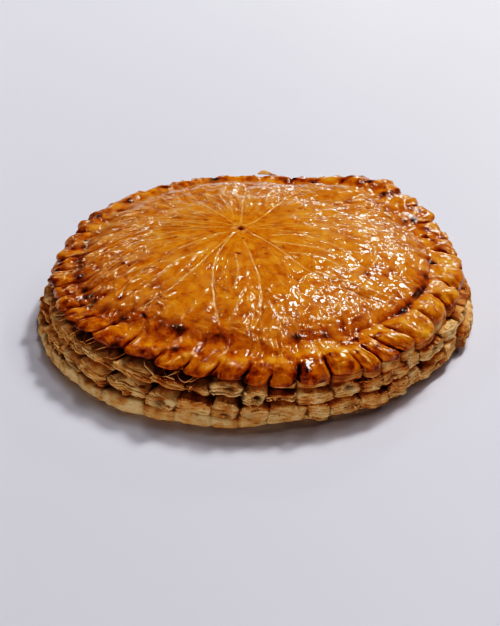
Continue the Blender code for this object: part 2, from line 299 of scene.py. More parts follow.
def scoreGaps(x, y):  # for each score: how far a point lies beside it, and how much of the cut is there
    away, angle = aboutVent(x, y)
    near, middle, far = cakeForm["scoreSpots"]
    t = np.clip((away - near) / (far - near), -0.3, 1.3)
    bend = (middle - near) / (far - near)
    for first, second, last, start, end, depth in cakeForm["scores"]:
        curve = (second - first - bend * (last - first)) / (bend * (bend - 1.0))
        line = first + (last - first) * t + curve * t * (t - 1.0)
        gap = np.radians(wrapped(angle - line)) * away
        present = smoothStep(start - 3.0, start + 5.0, away) * (1.0 - smoothStep(end - 10.0, end, away))
        yield gap, present, depth


def crownHeight(x, y):  # the dome with the swell between its scores and the vent, without finer relief
    form = cakeForm
    share = np.hypot(x, y) / form["footRadius"]
    rise = form["domeTop"] - form["footHeight"]
    height = form["footHeight"] + rise * (1.0 - np.minimum(share, 1.0) ** form["domePower"])
    away, _ = aboutVent(x, y)
    nearest = np.full(x.shape, 1e3)
    for gap, present, _ in scoreGaps(x, y):
        nearest = np.minimum(nearest, np.abs(gap) + 12.0 * (1.0 - present))
    swell = form["swell"] * (smoothStep(0.0, 9.0, nearest) - 0.5) * smoothStep(8.0, 30.0, away)
    vent = form["ventDepth"] * bell(away, 0.0, form["ventRadius"])
    degrees = angleOf(x, y)
    # At the back the crust runs level into the raised rim
    raised = (sectionAt("lobeBack", degrees) - form["footHeight"]) * between(degrees, 16.0, 168.0, 16.0)
    fold = 1.0 - form["valleyWidth"] / form["footRadius"]
    height += swell * (1.0 - smoothStep(0.85, 1.0, share)) - vent
    height -= form["valleyDrop"] * openFold(degrees) * smoothStep(fold, 1.0, share)
    return height + form["raisedShare"] * raised * smoothStep(0.6, 1.0, share)


def lineDistance(x, y, route):  # distance to a line through a few points
    least = np.full(x.shape, 1e3)
    for (ax, ay), (bx, by) in zip(route, route[1:]):
        run = np.array((bx - ax, by - ay))
        t = np.clip(((x - ax) * run[0] + (y - ay) * run[1]) / (run @ run), 0.0, 1.0)
        least = np.minimum(least, np.hypot(x - ax - t * run[0], y - ay - t * run[1]))
    return least


def scattered(count, seed, low, high):  # seeded places over the whole top: x, y and a size
    rng = random.Random(seed)
    for _ in range(count):
        radius = crustRelief["reach"] * math.sqrt(rng.random())
        turn = rng.uniform(0.0, 2.0 * math.pi)
        yield radius * math.cos(turn), radius * math.sin(turn), rng.uniform(low, high)


def crustWrinkles(points, bent, radius, away, angle):
    look, seed = crustRelief, crustRelief["seed"]
    # The right and the front wrinkled most, the middle and the left stayed smooth
    restless = 0.25 + 0.75 * smoothStep(-0.25, 0.5, waves(points, 24.0, seed + 4))
    place = 0.3 + 0.7 * smoothStep(45.0, 85.0, away) * (0.35 + 0.65 * nearAngle(angle, -20.0, 85.0))
    restless = np.maximum(restless * place, 0.55 * smoothStep(90.0, 104.0, radius))
    lumps, fine = bands(points, look["lumps"], seed + 5), bands(bent, look["wrinkles"], seed + 8)
    puckers = bands(bent, look["creases"], seed + 30, ridges)
    offset = lumps * smoothStep(6.0, 25.0, away) + fine * (0.25 + restless)
    return offset - puckers * np.maximum(restless, look["leastCrease"]), puckers, restless


def crustRays(points, bent, radius, away, angle):
    # Folds that run out from the vent, and others that run round the dome's foot
    look, seed = crustRelief, crustRelief["seed"]
    drift = angle + 7.0 * waves(points, 42.0, seed + 12) * smoothStep(10.0, 60.0, away)
    turn = np.radians(drift)
    around = onRing(turn, look["rayCount"] / (2.0 * math.pi), away / 34.0)  # they meet all the way round
    rays = ridges(around, 1.0, seed + 13) * 0.85 + ridges(around * 2.1, 1.0, seed + 14) * 0.45
    left = 0.25 + 0.95 * nearAngle(angle, 150.0, 80.0) + 0.35 * nearAngle(angle, 5.0, 40.0)
    rays = rays * left * smoothStep(8.0, 32.0, away) * (1.0 - 0.6 * smoothStep(90.0, 108.0, away))

    flows = triples(turn * 13.0, away / 13.0, 0.0)
    flows = waves(flows, 1.0, seed + 15) + 0.5 * waves(flows * 2.1, 1.0, seed + 26)
    flows = flows * between(angle, -75.0, 75.0, 25.0) * smoothStep(35.0, 75.0, away)

    hoops = ridges(triples(radius / 3.4, np.radians(angle) * 9.0, 0.0), 1.0, seed + 16)
    hoops = hoops * bell(radius, 88.0, 11.0)
    hoops = hoops * (0.2 + 0.8 * nearAngle(angle, 5.0, 60.0) + 0.4 * nearAngle(angle, 275.0, 40.0))

    skin = ridges(around * (0.9, 0.9, 3.0), 1.0, seed + 38) * smoothStep(7.0, 16.0, away)
    skin = skin * (1.0 - smoothStep(92.0, 104.0, radius))
    crumple = ridges(bent, 3.8, seed + 37) * bell(away, 4.4, 3.2)
    offset = look["rayHeight"] * rays + look["flowHeight"] * flows + look["hoopHeight"] * hoops
    offset = offset + look["skinHeight"] * skin + look["crumpleHeight"] * crumple
    # The crests of the rays are paler: partly drier crust, partly painted sheen
    pale = (0.26 + 0.12 * (1.0 - smoothStep(30.0, 70.0, away))) * rays + 0.18 * hoops
    pale = pale + 0.06 * skin + 0.45 * crumple
    return offset, pale


def crustCuts(points, bent, pale):  # the knife's scores and the fine raised lines
    look, offset, brown = crustRelief, 0.0, 0.0
    bowed = points + 0.35 * (bent - points)
    for gap, present, depth in scoreGaps(bowed[:, 0], bowed[:, 1]):
        present = present * np.clip(0.85 + 0.7 * waves(points, 4.0, look["seed"] + 39), 0.3, 1.0)
        lip = present * bell(np.abs(gap), 1.3, 0.5)
        cut = present * bell(gap, 0.0, look["scoreWidth"])
        offset = offset - look["scoreDepth"] * depth * cut + look["scoreLip"] * lip
        pale = np.maximum(pale, present * bell(gap, 0.0, 0.42) * (0.45 + 0.45 * depth))
        brown = brown + 0.10 * lip
    for vein in look["veins"]:
        line = lineDistance(bent[:, 0], bent[:, 1], [fromVent(*spot) for spot in vein])
        offset = offset + look["veinHeight"] * bell(line, 0.0, 0.8)
        pale = np.maximum(pale, 0.75 * bell(line, 0.0, 0.6))
    return offset, pale, brown


def crustPinches(points, radius):  # where the rim's cuts pull the crust in, round the dome's foot
    look = crustRelief
    degrees = angleOf(points[:, 0], points[:, 1])
    ring = smoothStep(86.0, 96.0, radius) * (1.0 - smoothStep(103.0, 109.0, radius))
    pinched = np.zeros(len(points))
    inward = 1.0 - 0.5 * smoothStep(98.0, 110.0, radius)
    for notch, slant, pinch in zip(notches, slits["slant"], slits["pinch"]):
        gap = np.radians(wrapped(degrees - notch - slant * inward)) * radius
        pinched = np.maximum(pinched, bell(gap, 0.0, look["pinchWidth"]) * pinch)
    uneven = 0.7 * ring * waves(points, 7.5, look["seed"] + 27)
    return uneven - look["pinchDepth"] * pinched * ring, 0.22 * pinched * ring


def crustScorches(points, away):  # scorched blisters, bubbles and pits
    look, seed = crustRelief, crustRelief["seed"]
    x, y = points[:, 0], points[:, 1]
    offset, brown, scorch = 0.0, 0.0, np.zeros(len(points))
    tatter = 0.45 * waves(points, 3.4, seed + 17) + 0.35 * waves(points, 1.6, seed + 28)
    for distance, angle, length, width, high, black in look["scorches"]:
        cx, cy = fromVent(distance, angle)
        outward = math.atan2(cy, cx)
        across = (x - cx) * math.cos(outward) + (y - cy) * math.sin(outward)
        along = -(x - cx) * math.sin(outward) + (y - cy) * math.cos(outward)
        near = np.hypot(across / (0.5 * width), along / (0.5 * length))
        offset = offset + look["scorchHeight"] * high * np.exp(-(near**2.4))
        scorch = np.maximum(scorch, black * (1.0 - smoothStep(0.3, 1.4, near + tatter)))
        brown = brown + 0.36 * bell(near, 0.0, 1.8)
    for cx, cy, size in scattered(look["bubbles"], seed + 18, 0.6, 1.7):
        close = np.hypot(x - cx, y - cy) / size
        offset = offset + look["bubbleHeight"] * size * np.clip(1.0 - close * close, 0.0, 1.0)
    for cx, cy, size in scattered(look["pits"], seed + 19, 0.5, 0.9):
        close = bell(np.hypot(x - cx, y - cy), 0.0, size)
        offset = offset - look["pitDepth"] * close
        scorch = np.maximum(scorch, 0.8 * close)
    ventEdge = away * (1.0 + 0.9 * waves(points, 2.6, seed + 36))
    return offset, brown, np.maximum(scorch, 0.65 * bell(ventEdge, 0.0, 1.6))


def crustFields(points):
    # How far the baked crust stands off its smooth form, and how brown, pale or scorched it is
    look, seed = crustRelief, crustRelief["seed"]
    radius = np.hypot(points[:, 0], points[:, 1])
    away, angle = aboutVent(points[:, 0], points[:, 1])
    size, high = look["bend"]
    bent = points + high * np.stack([waves(points, size, seed + n) for n in (1, 2, 3)], axis=1)
    wrinkles, puckers, restless = crustWrinkles(points, bent, radius, away, angle)
    rays, pale = crustRays(points, bent, radius, away, angle)
    cuts, pale, cutBrown = crustCuts(points, bent, pale)
    pinches, pinchBrown = crustPinches(points, radius)
    blisters, blisterBrown, scorch = crustScorches(points, away)
    bake = look["brown"] + look["brownFoot"] * smoothStep(60.0, 95.0, radius) + 0.35 * puckers * restless
    bake = bake + 0.16 * waves(points, 15.0, seed + 34) + 0.18 * waves(bent, 5.0, seed + 35)
    bake = bake + cutBrown + pinchBrown + blisterBrown
    grain = np.clip(0.3 + 0.7 * restless, 0.0, 1.0)
    fields = {"bake": bake, "pale": pale, "scorch": scorch, "grain": grain}
    return wrinkles + rays + cuts + pinches + blisters, fields


def valleyShift(points):  # the fold between dome and rim wanders a little, and both sides follow it
    near = bell(np.hypot(points[:, 0], points[:, 1]), cakeForm["footRadius"], 9.0)
    flat = points * (1.0, 1.0, 0.0)
    seed = cakeForm["seed"] + 30
    wander = [1.7 * waves(flat, 13.0, seed + n) + 0.9 * waves(flat, 6.0, 50 + n) for n in (0, 1)]
    return triples(near * wander[0], near * wander[1], 0.0)


def toFrame(points):
    # From the form's own millimetres to the frame's metres. What would stand proud of the part eases off.
    moved = (points - (*cakeForm["boxMiddle"], 0.0)) * mm
    ease, margin = 1.5 * mm, 0.05 * mm
    for axis in range(3):
        excess = np.maximum(np.abs(moved[:, axis]) - (cadBox[1][axis] - margin - ease), 0.0)
        moved[:, axis] -= np.sign(moved[:, axis]) * (excess - ease * np.tanh(excess / ease))
    return moved


def placesOf(mesh):
    return np.array([vert.co for vert in mesh.verts])


def moveTo(mesh, points):
    for vert, point in zip(mesh.verts, points):
        vert.co = point


def finishPiece(mesh, name, points, fields, material):
    moveTo(mesh, toFrame(points))
    return wrapPiece(mesh, name, fields, material)


def addObject(name, data):
    made = bpy.data.objects.new(name, data)
    bpy.context.scene.collection.objects.link(made)
    return made


def wrapPiece(mesh, name, fields, material):  # a closed bmesh becomes an object that stands for the CAD node
    bmesh.ops.recalc_face_normals(mesh, faces=mesh.faces)
    data = bpy.data.meshes.new(name)
    mesh.to_mesh(data)
    mesh.free()
    for field, values in fields.items():
        data.attributes.new(field, "FLOAT", "POINT").data.foreach_set("value", values.astype(np.float32))
    data.materials.append(material)
    data.shade_smooth()
    piece = addObject(name, data)
    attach(piece, "root")
    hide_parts("galette")
    print(f"{name}: {sum(len(face.vertices) - 2 for face in data.polygons)} triangles")
    return piece


def manyOf(shape, count):
    # A bmesh that holds a shape many times, its points, and the number of the copy that each belongs to
    data = bpy.data.meshes.new("shape")
    shape.to_mesh(data)
    shape.free()
    mesh = bmesh.new()
    for _ in range(count):
        mesh.from_mesh(data)
    number = np.repeat(np.arange(count), len(data.vertices))
    bpy.data.meshes.remove(data)
    return mesh, placesOf(mesh), number


def thinPiece(mesh, name, points, look, material):  # a sheet of dough gets its thickness and its tone
    moveTo(mesh, toFrame(points))
    bmesh.ops.solidify(mesh, geom=mesh.faces, thickness=look["thickness"] * mm)
    level, spread, seed = look["toast"]
    toast = level + spread * waves(placesOf(mesh) / mm, 5.0, seed)
    return wrapPiece(mesh, name, {"toast": toast, "hollow": np.zeros(len(toast))}, material)


domeCrust = {
    "cells": 304,          # faces along each side of the grid that becomes the disc
    "wallFoot": 22.0,      # below the dome's foot the piece runs on under the rim, out of sight
    "wallRadius": 95.0,
    "wallBrown": 0.4,
}


def roundGrid(flat):  # a square grid's points spread evenly over a disc
    a, b = flat[:, 0], flat[:, 1]
    wide = np.abs(a) > np.abs(b)
    major, minor = np.where(wide, a, b), np.where(wide, b, a)
    share = minor / np.where(major == 0.0, 1.0, major)
    turn = np.where(wide, share * math.pi / 4.0, math.pi / 2.0 - share * math.pi / 4.0)
    return major * np.cos(turn), major * np.sin(turn)


def makeDome(material):
    look, foot = domeCrust, cakeForm["footRadius"]
    mesh = bmesh.new()
    bmesh.ops.create_grid(mesh, x_segments=look["cells"], y_segments=look["cells"], size=1.0)
    x, y = roundGrid(placesOf(mesh))
    x, y = x * foot, y * foot
    offset, fields = crustFields(triples(x, y, 0.0))
    points = triples(x, y, crownHeight(x, y) + offset)
    valley = bell(np.hypot(x, y), foot, 1.5) * openFold(angleOf(x, y))
    fields["bake"] = fields["bake"] + 0.25 * valley
    moveTo(mesh, points + valleyShift(points))
    rim = [edge for edge in mesh.edges if edge.is_boundary]
    for edge in rim:
        edge.smooth = False
    for radius in (look["wallRadius"], 0.0):
        made = bmesh.ops.extrude_edge_only(mesh, edges=rim)["geom"]
        verts = [item for item in made if isinstance(item, bmesh.types.BMVert)]
        rim = [item for item in made if isinstance(item, bmesh.types.BMEdge)]
        for vert in verts:
            out = math.hypot(vert.co.x, vert.co.y)
            vert.co = (vert.co.x / out * radius, vert.co.y / out * radius, look["wallFoot"])
    bmesh.ops.pointmerge(mesh, verts=verts, merge_co=(0.0, 0.0, look["wallFoot"]))
    points = placesOf(mesh)
    wall = np.full(len(points) - len(x), look["wallBrown"])
    fields = {name: np.append(values, wall) for name, values in fields.items()}
    return finishPiece(mesh, "glazed_dome", points, fields, material)


def columnTable(perLobe, crowd):
    # Columns round the cake, closer together at the slits. Each has its lobe's traits, eased at the edges.
    walk = np.arange(lobeCount * perLobe) / perLobe
    lobe = np.floor(walk + 1e-6).astype(int)
    even = walk - lobe
    share = even - crowd * np.sin(2.0 * math.pi * even) / (2.0 * math.pi)
    across = 2.0 * share - 1.0
    own = {name: values[lobe] for name, values in traits.items()}
    for name in ("reach", "lift", "notch", "upperSeam", "lowerSeam"):
        beside = np.where(across > 0, (lobe + 1) % lobeCount, (lobe - 1) % lobeCount)
        own[name] = own[name] + (traits[name][beside] - own[name]) * 0.5 * np.abs(across) ** 3
    width = notches[lobe + 1] - notches[lobe]
    slit = np.where(across > 0, (lobe + 1) % lobeCount, lobe)
    return {
        "lobe": lobe, "share": share, "across": across, "own": own, "slit": slit, "width": width,
        "angle": notches[lobe] + share * width,
    }


def lipRise(degrees):  # how much higher the glaze ends where the pale end faces of the lobes show
    return 0.5 + 2.3 * between(degrees, -72.0, 42.0, 12.0)


def leaning(columns, trait, strength):  # the slits lean or shift a little from lobe to lobe
    start = traits[trait][columns["lobe"]]
    end = traits[trait][(columns["lobe"] + 1) % lobeCount]
    return columns["angle"] + strength * (start + (end - start) * columns["share"])


def turnedNet(rows, count, poles):
    # A grid with a ring for each row and welded sides: columns close round the cake, and rings close too, or
    # end in poles. Gives the mesh, each vertex's ring and column, and its values out of the rows.
    mesh = bmesh.new()
    steps = len(rows) - 1 if poles else len(rows)
    bmesh.ops.create_grid(mesh, x_segments=count, y_segments=steps, size=1.0)

    def ringAndColumn():
        flat = placesOf(mesh)
        ring = np.rint((flat[:, 1] + 1.0) / 2.0 * steps).astype(int)
        return ring, np.rint((flat[:, 0] + 1.0) / 2.0 * count).astype(int)

    spots = dict(zip(zip(*ringAndColumn()), mesh.verts))
    onto = {}
    for (ring, column), vert in spots.items():
        goalRing = 0 if ring == steps and not poles else ring
        goalColumn = 0 if column == count or (poles and ring in (0, steps)) else column
        if (goalRing, goalColumn) != (ring, column):
            onto[vert] = spots[goalRing, goalColumn]
    bmesh.ops.weld_verts(mesh, targetmap=onto)
    ring, column = ringAndColumn()
    tables = [np.stack([np.broadcast_to(value, (count,)) for value in part]) for part in zip(*rows)]
    return mesh, ring, column, [table[ring, column] for table in tables]


lobedRim = {
    "seed": 47,
    "perLobe": 32,
    "crowd": 0.42,
    "backRings": 46,
    "lipRings": 6,
    "underRings": 3,
    "lipRound": 0.88,       # how far the lip rolls down
    "lipTilt": 72.0,        # degrees that its surface faces outward
    "underDepth": 17.0,     # how far the glazed sheet's underside runs in under the lobes
    "cutDepth": 1.8,        # the knife's narrow cut
    "cutWidth": 0.4,
    "edgeDepth": 3.4,       # how the lobes round off into the cut
    "edgeWidth": 7.4,
    "pillow": 1.9,
    "leftSlant": 3.4,       # degrees that the upper end of a cut leans, at the left and the front
    "rightSlant": -6.5,     # and at the front right
    "slantSpread": 1.3,     # and how far each cut strays from that
    "beginSpread": (-0.11, 0.11),   # how far its start strays, as a share of the lobe's back
    "pinch": (0.25, 1.0),   # how much it pulls the crust in
    "twist": 1.8,           # one edge of a lobe stands higher than the other
    "foldHeight": 1.0,
    "lumpHeight": 1.5,
    "ribHeight": 0.6,       # wrinkles that run out along the lobes
    "droop": 2.0,
}


def slitTraits():  # what differs from cut to cut: where it starts on the lobe's back, and how it leans
    look = lobedRim
    rng = random.Random(look["seed"])
    angles = notches[:-1]
    right, back = between(angles, -62.0, 24.0, 9.0), between(angles, 62.0, 135.0, 12.0)
    begin = 0.28 + 0.18 * between(angles, 248.0, 282.0, 4.0) - 0.16 * right + 0.10 * back
    begin = begin + drawn(rng, look["beginSpread"], len(angles))
    slant = look["leftSlant"] * between(angles, 172.0, 277.0, 3.0)
    slant = slant + look["rightSlant"] * nearAngle(angles, 311.0, 17.0)
    slant = slant + look["slantSpread"] * drawn(rng, (-1.0, 1.0), len(angles))
    pinch = drawn(rng, look["pinch"], len(angles))
    return {"begin": begin, "slant": slant, "depth": 1.0 - 0.4 * back, "pinch": pinch}


slits = slitTraits()


def lobeBack(along, columns):
    # From the dome's foot at 0 to the lip at 1: angle, radius, height, how deep in a cut, and how far over its
    # rounded edge
    own, across, lobe, share = columns["own"], columns["across"], columns["lobe"], columns["share"]
    look, form = lobedRim, cakeForm
    slant, following = slits["slant"], (lobe + 1) % lobeCount
    degrees = leaning(columns, "lean", along)
    degrees = degrees + (1.0 - along) ** 1.3 * (slant[lobe] + (slant[following] - slant[lobe]) * share)
    foot = form["footRadius"]
    lip = sectionAt("lip", degrees) + own["reach"]
    low = sectionAt("lipFoot", degrees) + lipRise(degrees)
    low = low + look["droop"] * own["fold"] * (1.0 - np.abs(across) ** 6)
    back = sectionAt("lobeBack", degrees) + own["lift"]
    turn = along * math.pi / 2.0
    outward, upward = math.sin(turn), max(math.cos(turn), 0.0)
    radius = foot + (lip - foot) * outward**0.95
    height = low + (back - low) * upward**0.85
    start = crownHeight(*onRing(np.radians(degrees), foot, 0.0)[:, :2].T)
    fall = form["domePower"] * (form["domeTop"] - form["footHeight"]) / foot
    opened = openFold(degrees)
    running = start - fall * (1.0 - opened) * (radius - foot)       # the dome's slope runs on where it flows
    height = height + (running - back) * (1.0 - smoothStep(0.0, 0.42 - 0.24 * opened, along))
    height = height + 0.9 * opened * bell(along, 0.24, 0.16) * smoothStep(0.0, 0.12, along)

    gap = (1.0 - np.abs(across)) * 0.5 * np.radians(columns["width"]) * radius
    begin = slits["begin"][columns["slit"]]
    present = smoothStep(begin - 0.06, begin + 0.24, along)
    shallow = 1.0 - slits["depth"][columns["slit"]]
    present = present * (1.0 - shallow * (1.0 - smoothStep(0.8, 1.0, along)))
    tuck = 1.0 - np.sqrt(1.0 - 0.98 * np.clip(1.0 - gap / look["edgeWidth"], 0.0, 1.0) ** 2)
    depth = look["cutDepth"] * bell(gap, 0.0, look["cutWidth"]) + look["edgeDepth"] * tuck
    depth = depth * own["notch"] * present
    pillow = look["pillow"] * np.abs(across) ** own["fullness"]
    depth = depth + pillow * (0.25 * smoothStep(0.15, 0.6, along) + 0.75 * smoothStep(0.5, 1.0, along))
    level = smoothStep(0.12, 0.6, along) * (1.0 - np.abs(across) ** 8)
    twisted = look["twist"] * own["tilt"] * across * np.abs(across) ** 0.5 * level * present
    fold = look["foldHeight"] * own["fold"] * bell(across, 0.5 * own["tilt"], 0.22) * level
    lumps = waves(triples(across * 1.7 + lobe * 17.3, along * 1.9, lobe * 5.1), 1.0, look["seed"])
    ribs = triples(across * 4.2 + lobe * 9.1, along * 1.5 + lobe * 3.3, lobe * 2.3)
    ribs = waves(ribs, 1.0, look["seed"] + 1)
    lumps = look["lumpHeight"] * lumps * level + look["ribHeight"] * ribs * level
    radius = radius - depth * outward**2 + lumps * outward**2
    height = height - depth * upward**0.7 * (1.0 - 0.3 * along)
    height = height + (twisted + fold + lumps) * (1.0 - 0.5 * along)
    return degrees, radius, height, bell(gap, 0.0, 0.55) * present, tuck * present


def makeRim(material):
    look, columns = lobedRim, columnTable(lobedRim["perLobe"], lobedRim["crowd"])
    rows = []  # degrees, radius, height, slit, tuck, share of the way to the lip, outward tilt of the surface
    for number in range(look["backRings"] + 1):
        along = number / look["backRings"]
        rows.append((*lobeBack(along, columns), along, math.radians(look["lipTilt"]) * along))
    degrees, lipRadius, lipHeight, slit, tuck = lobeBack(1.0, columns)
    inner = tierFace(0, 0.1, columns)[1]
    for number in range(look["lipRings"]):
        amount = (number + 1) / look["lipRings"]
        radius = lipRadius + (np.minimum(inner, lipRadius - 0.6) - lipRadius) * amount**2
        height = lipHeight - look["lipRound"] * math.sin(amount * math.pi / 2.0)
        tilt = math.radians(look["lipTilt"] + 70.0 * amount)
        rows.append((degrees, radius, height, slit, tuck, 1.0 + amount, tilt))
    under = rows[-1]
    for number in range(look["underRings"]):
        amount = (number + 1) / look["underRings"]
        radius = under[1] + (under[1].mean() - look["underDepth"] - under[1]) * amount
        rows.append((degrees, radius, under[2] + 0.2 * amount, slit, tuck, 2.0, math.pi))
    mesh, ring, column, values = turnedNet(rows, len(columns["angle"]), False)
    degrees, radius, height, slit, tuck, along, tilt = values
    mesh.verts.index_update()
    for edge in mesh.edges:  # the rim's inner edge, where it meets the dome, stays crisp
        if ring[edge.verts[0].index] == 0 and ring[edge.verts[1].index] == 0:
            edge.smooth = False
    turn = np.radians(degrees)
    fallen = np.minimum(height - rows[0][2][column], 0.0)      # below the dome's foot
    offset, fields = crustFields(onRing(turn, radius, fallen))
    offset = offset * (1.0 - smoothStep(1.2, 1.9, along))
    points = onRing(turn, radius, height)
    shift = valleyShift(points)
    points = points + offset[:, None] * onRing(turn, np.sin(tilt), np.cos(tilt)) + shift

    valley = (1.0 - smoothStep(0.0, 0.07, along)) * openFold(degrees)
    edge = smoothStep(0.72, 1.05, along + 0.12 * waves(points, 5.0, look["seed"] + 4))
    uneven = 0.40 * waves(points, 9.0, look["seed"] + 3) + 0.28 * waves(points, 3.4, look["seed"] + 5)
    rimBakeAndShade = uneven * smoothStep(0.0, 0.3, along)
    rimBakeAndShade = rimBakeAndShade + 0.06 * nearAngle(degrees, 215.0, 60.0) - 0.19 * nearAngle(degrees, 335.0, 45.0)
    # Painted shade: slit and tuck darken the glaze in the cuts between the lobes and over their rounded edges
    rimBakeAndShade = rimBakeAndShade - 0.05 + 0.25 * valley + 0.26 * edge + 0.35 * slit + 0.22 * tuck
    fields["bake"] = fields["bake"] + rimBakeAndShade
    # Painted shade: the narrow cut between the lobes is blackened as well
    fields["scorch"] = np.maximum(fields["scorch"], 0.8 * slit * smoothStep(0.15, 0.8, slit))
    fields["pale"] = fields["pale"] * (1.0 - edge)
    return finishPiece(mesh, "lobed_rim", points, fields, material)


layeredSide = {
    "seed": 81,
    "perLobe": 34,
    "crowd": 0.35,
    "lipRings": 16,         # rings up the pale layer under the lip
    "sheetRings": 12,       # and up the bottom sheet
    "wallRings": 10,
    "slitDepth": (1.4, 0.3),        # in the pale layer and in the bottom sheet
    # How far each of the two rounds off at its upper and lower edge, and how deep it dips between the lobes
    "rounding": ((0.6, 1.6, 2.4), (1.4, 2.8, 1.1)),
    "slitPower": 12.0,
    "wallSetBack": 4.5,     # the wall behind the blocks, set back and painted dark as shade
    "tornSetBack": 6.0,     # and how much further in it lies at the front left
    "tornAt": 225.0,
    "tornSpread": 50.0,
    "layer": (1.1, 1.9),    # thickness of one dough layer, thinnest and thickest
    "inset": 100.0,         # how far in the hidden faces of the pale layer reach
}


tierFaces = ("paleLayer", "upperTier", "lowerTier", "sheet")    # radii of the tiers, from the top down
tierTops = ("lipFoot", "upperSeam", "middleSeam", "lowerSeam")  # and the heights of their upper edges


def lowShare(degrees):  # where the lower blocks hide the bottom sheet and come down almost to the table
    return between(degrees, 244.0, 64.0, 11.0)


def backShade(degrees):  # painted shade: the back of the side, which the key lamp lights straight on, is made a little darker
    return 0.2 * between(degrees, 15.0, 175.0, 25.0)


def tornShare(degrees):
    return nearAngle(degrees, layeredSide["tornAt"], layeredSide["tornSpread"])


def tierFace(tier, down, columns):
    # Tier 0 is the pale layer under the lip, 3 the bottom sheet. Down runs from 0 to 1.
    own, across, look = columns["own"], columns["across"], layeredSide
    degrees = leaning(columns, "lean" if tier == 0 else "lowerShift", 1.0)
    radius, top = sectionAt(tierFaces[tier], degrees), sectionAt(tierTops[tier], degrees)
    if tier == 0:
        top = top + lipRise(degrees) - 0.7
        foot = sectionAt(tierTops[1], degrees) + own["upperSeam"] - 0.6
        radius = radius + 0.8 * own["reach"] - 4.0 * tornShare(degrees)
        radius = radius + 0.5 * between(degrees, -72.0, 42.0, 12.0)
    else:
        top, foot = top + 1.7 * own["lowerSeam"], 0.0
        radius = radius - 2.6 * lowShare(degrees)
    above, below, crease = look["rounding"][tier // 3]
    height = top + (foot - top) * down
    sharp = abs(2.0 * down - 1.0) ** 3.5
    slit = np.abs(across) ** look["slitPower"]
    groove = crease * np.abs(across) ** own["fullness"] * 0.8 + look["slitDepth"][tier // 3] * slit
    radius = radius - (above if down < 0.5 else below) * sharp - groove * (1.0 - 0.35 * sharp)
    return degrees, radius, height, slit


def layering(points, group, thickness, seed):
    # Dough layers that end unevenly: how far each stands out, and how deep in a groove a point lies
    level = points[:, 2] + 1.1 * waves(points * (1.0, 1.0, 0.4), 8.0, seed + 1)
    count = level / thickness
    layer = np.floor(count).astype(np.int64)
    mixed = randomCells(triples(layer, group, 0), seed + 2)
    along = triples(points[:, 0], points[:, 1], layer * 31.0)
    jut = 0.6 * ((mixed & 1023) / 511.5 - 1.0) + 0.7 * waves(along, 7.0, seed + 3)
    parted = np.clip(0.6 + 0.9 * waves(along, 9.0, seed + 9), 0.05, 1.4)
    groove = np.abs(2.0 * (count - layer) - 1.0) ** 5 * parted
    return jut, groove


def doughFields(points, degrees, lobe, slit, gap, browner):
    # Relief, tones and painted shade of the pale layer, the bottom sheet and the wall behind
    seed = layeredSide["seed"]
    thin, thick = layeredSide["layer"]
    pick = (randomCells(triples(lobe, lobe * 3 + 1, 0), seed) & 255) / 255.0
    jut, groove = layering(points, lobe, thin + (thick - thin) * pick, seed)
    base = 1.0 - smoothStep(3.0, 9.0, points[:, 2])          # the bottom sheet is one smooth band
    layered = (0.6 * jut - 0.8 * groove) * (1.0 - 0.5 * base)
    bulges = (0.8 + 0.5 * base) * waves(points, 11.0, seed + 4)
    bulges = bulges + (0.6 + 0.3 * base) * waves(points, 4.2, seed + 5)
    crumb = 0.32 * waves(points, 1.9, seed + 6) + 0.2 * waves(points, 1.15, seed + 7)
    proud = smoothStep(-0.6, 0.9, layered + bulges)
    toast = 0.10 + browner + 0.22 * proud + 0.40 * waves(points, 6.0, seed + 8) + backShade(degrees)
    # Painted light: the bottom sheet at the front left, which lies in shade, is made paler
    toast = toast - 0.14 * base * tornShare(degrees)
    # Painted shade: the hidden faces, the slits and the grooves between the layers are darkened
    hollow = np.clip(gap + (0.8 * slit + 0.75 * groove) * (1.0 - 0.8 * base), 0.0, 1.0)
    return (layered + bulges + crumb) * (1.0 - 0.5 * gap), {"toast": toast, "hollow": hollow}


def makeNet(name, material, columns, rows, poles, browner):
    mesh, _, column, values = turnedNet(rows, len(columns["angle"]), poles)
    # The last value of each row is how much painted shade it gets
    degrees, radius, height, slit, gap = values
    turn = np.radians(degrees)
    points = onRing(turn, radius, height)
    offset, fields = doughFields(points, degrees, columns["lobe"][column], slit, gap, browner)
    offset = offset * smoothStep(96.0, 104.0, radius) * smoothStep(0.0, 1.2, height)
    return finishPiece(mesh, name, points + onRing(turn, offset, 0.0), fields, material)


def makeLipLayers(material):  # the pale, unglazed layers that show under the rim
    look, columns = layeredSide, columnTable(layeredSide["perLobe"], layeredSide["crowd"])
    rings, inset = look["lipRings"], look["inset"]
    face = [(*tierFace(0, (number + 0.5) / rings, columns), 0.0) for number in range(rings)]
    degrees, top, height, slit, _ = face[0]
    # The hidden roof and floor rows get full painted shade
    roof = [(degrees, inset + (top - 1.0 - inset) * t, height + 0.4, slit, 1.0) for t in (0.0, 0.6, 1.0)]
    degrees, foot, height, slit, _ = face[-1]
    floor = [(degrees, foot - 0.5 + (inset - foot) * t, height, slit, 1.0) for t in (0.0, 0.4, 1.0)]
    return makeNet("lip_layers", material, columns, roof + face + floor, False, 0.3)


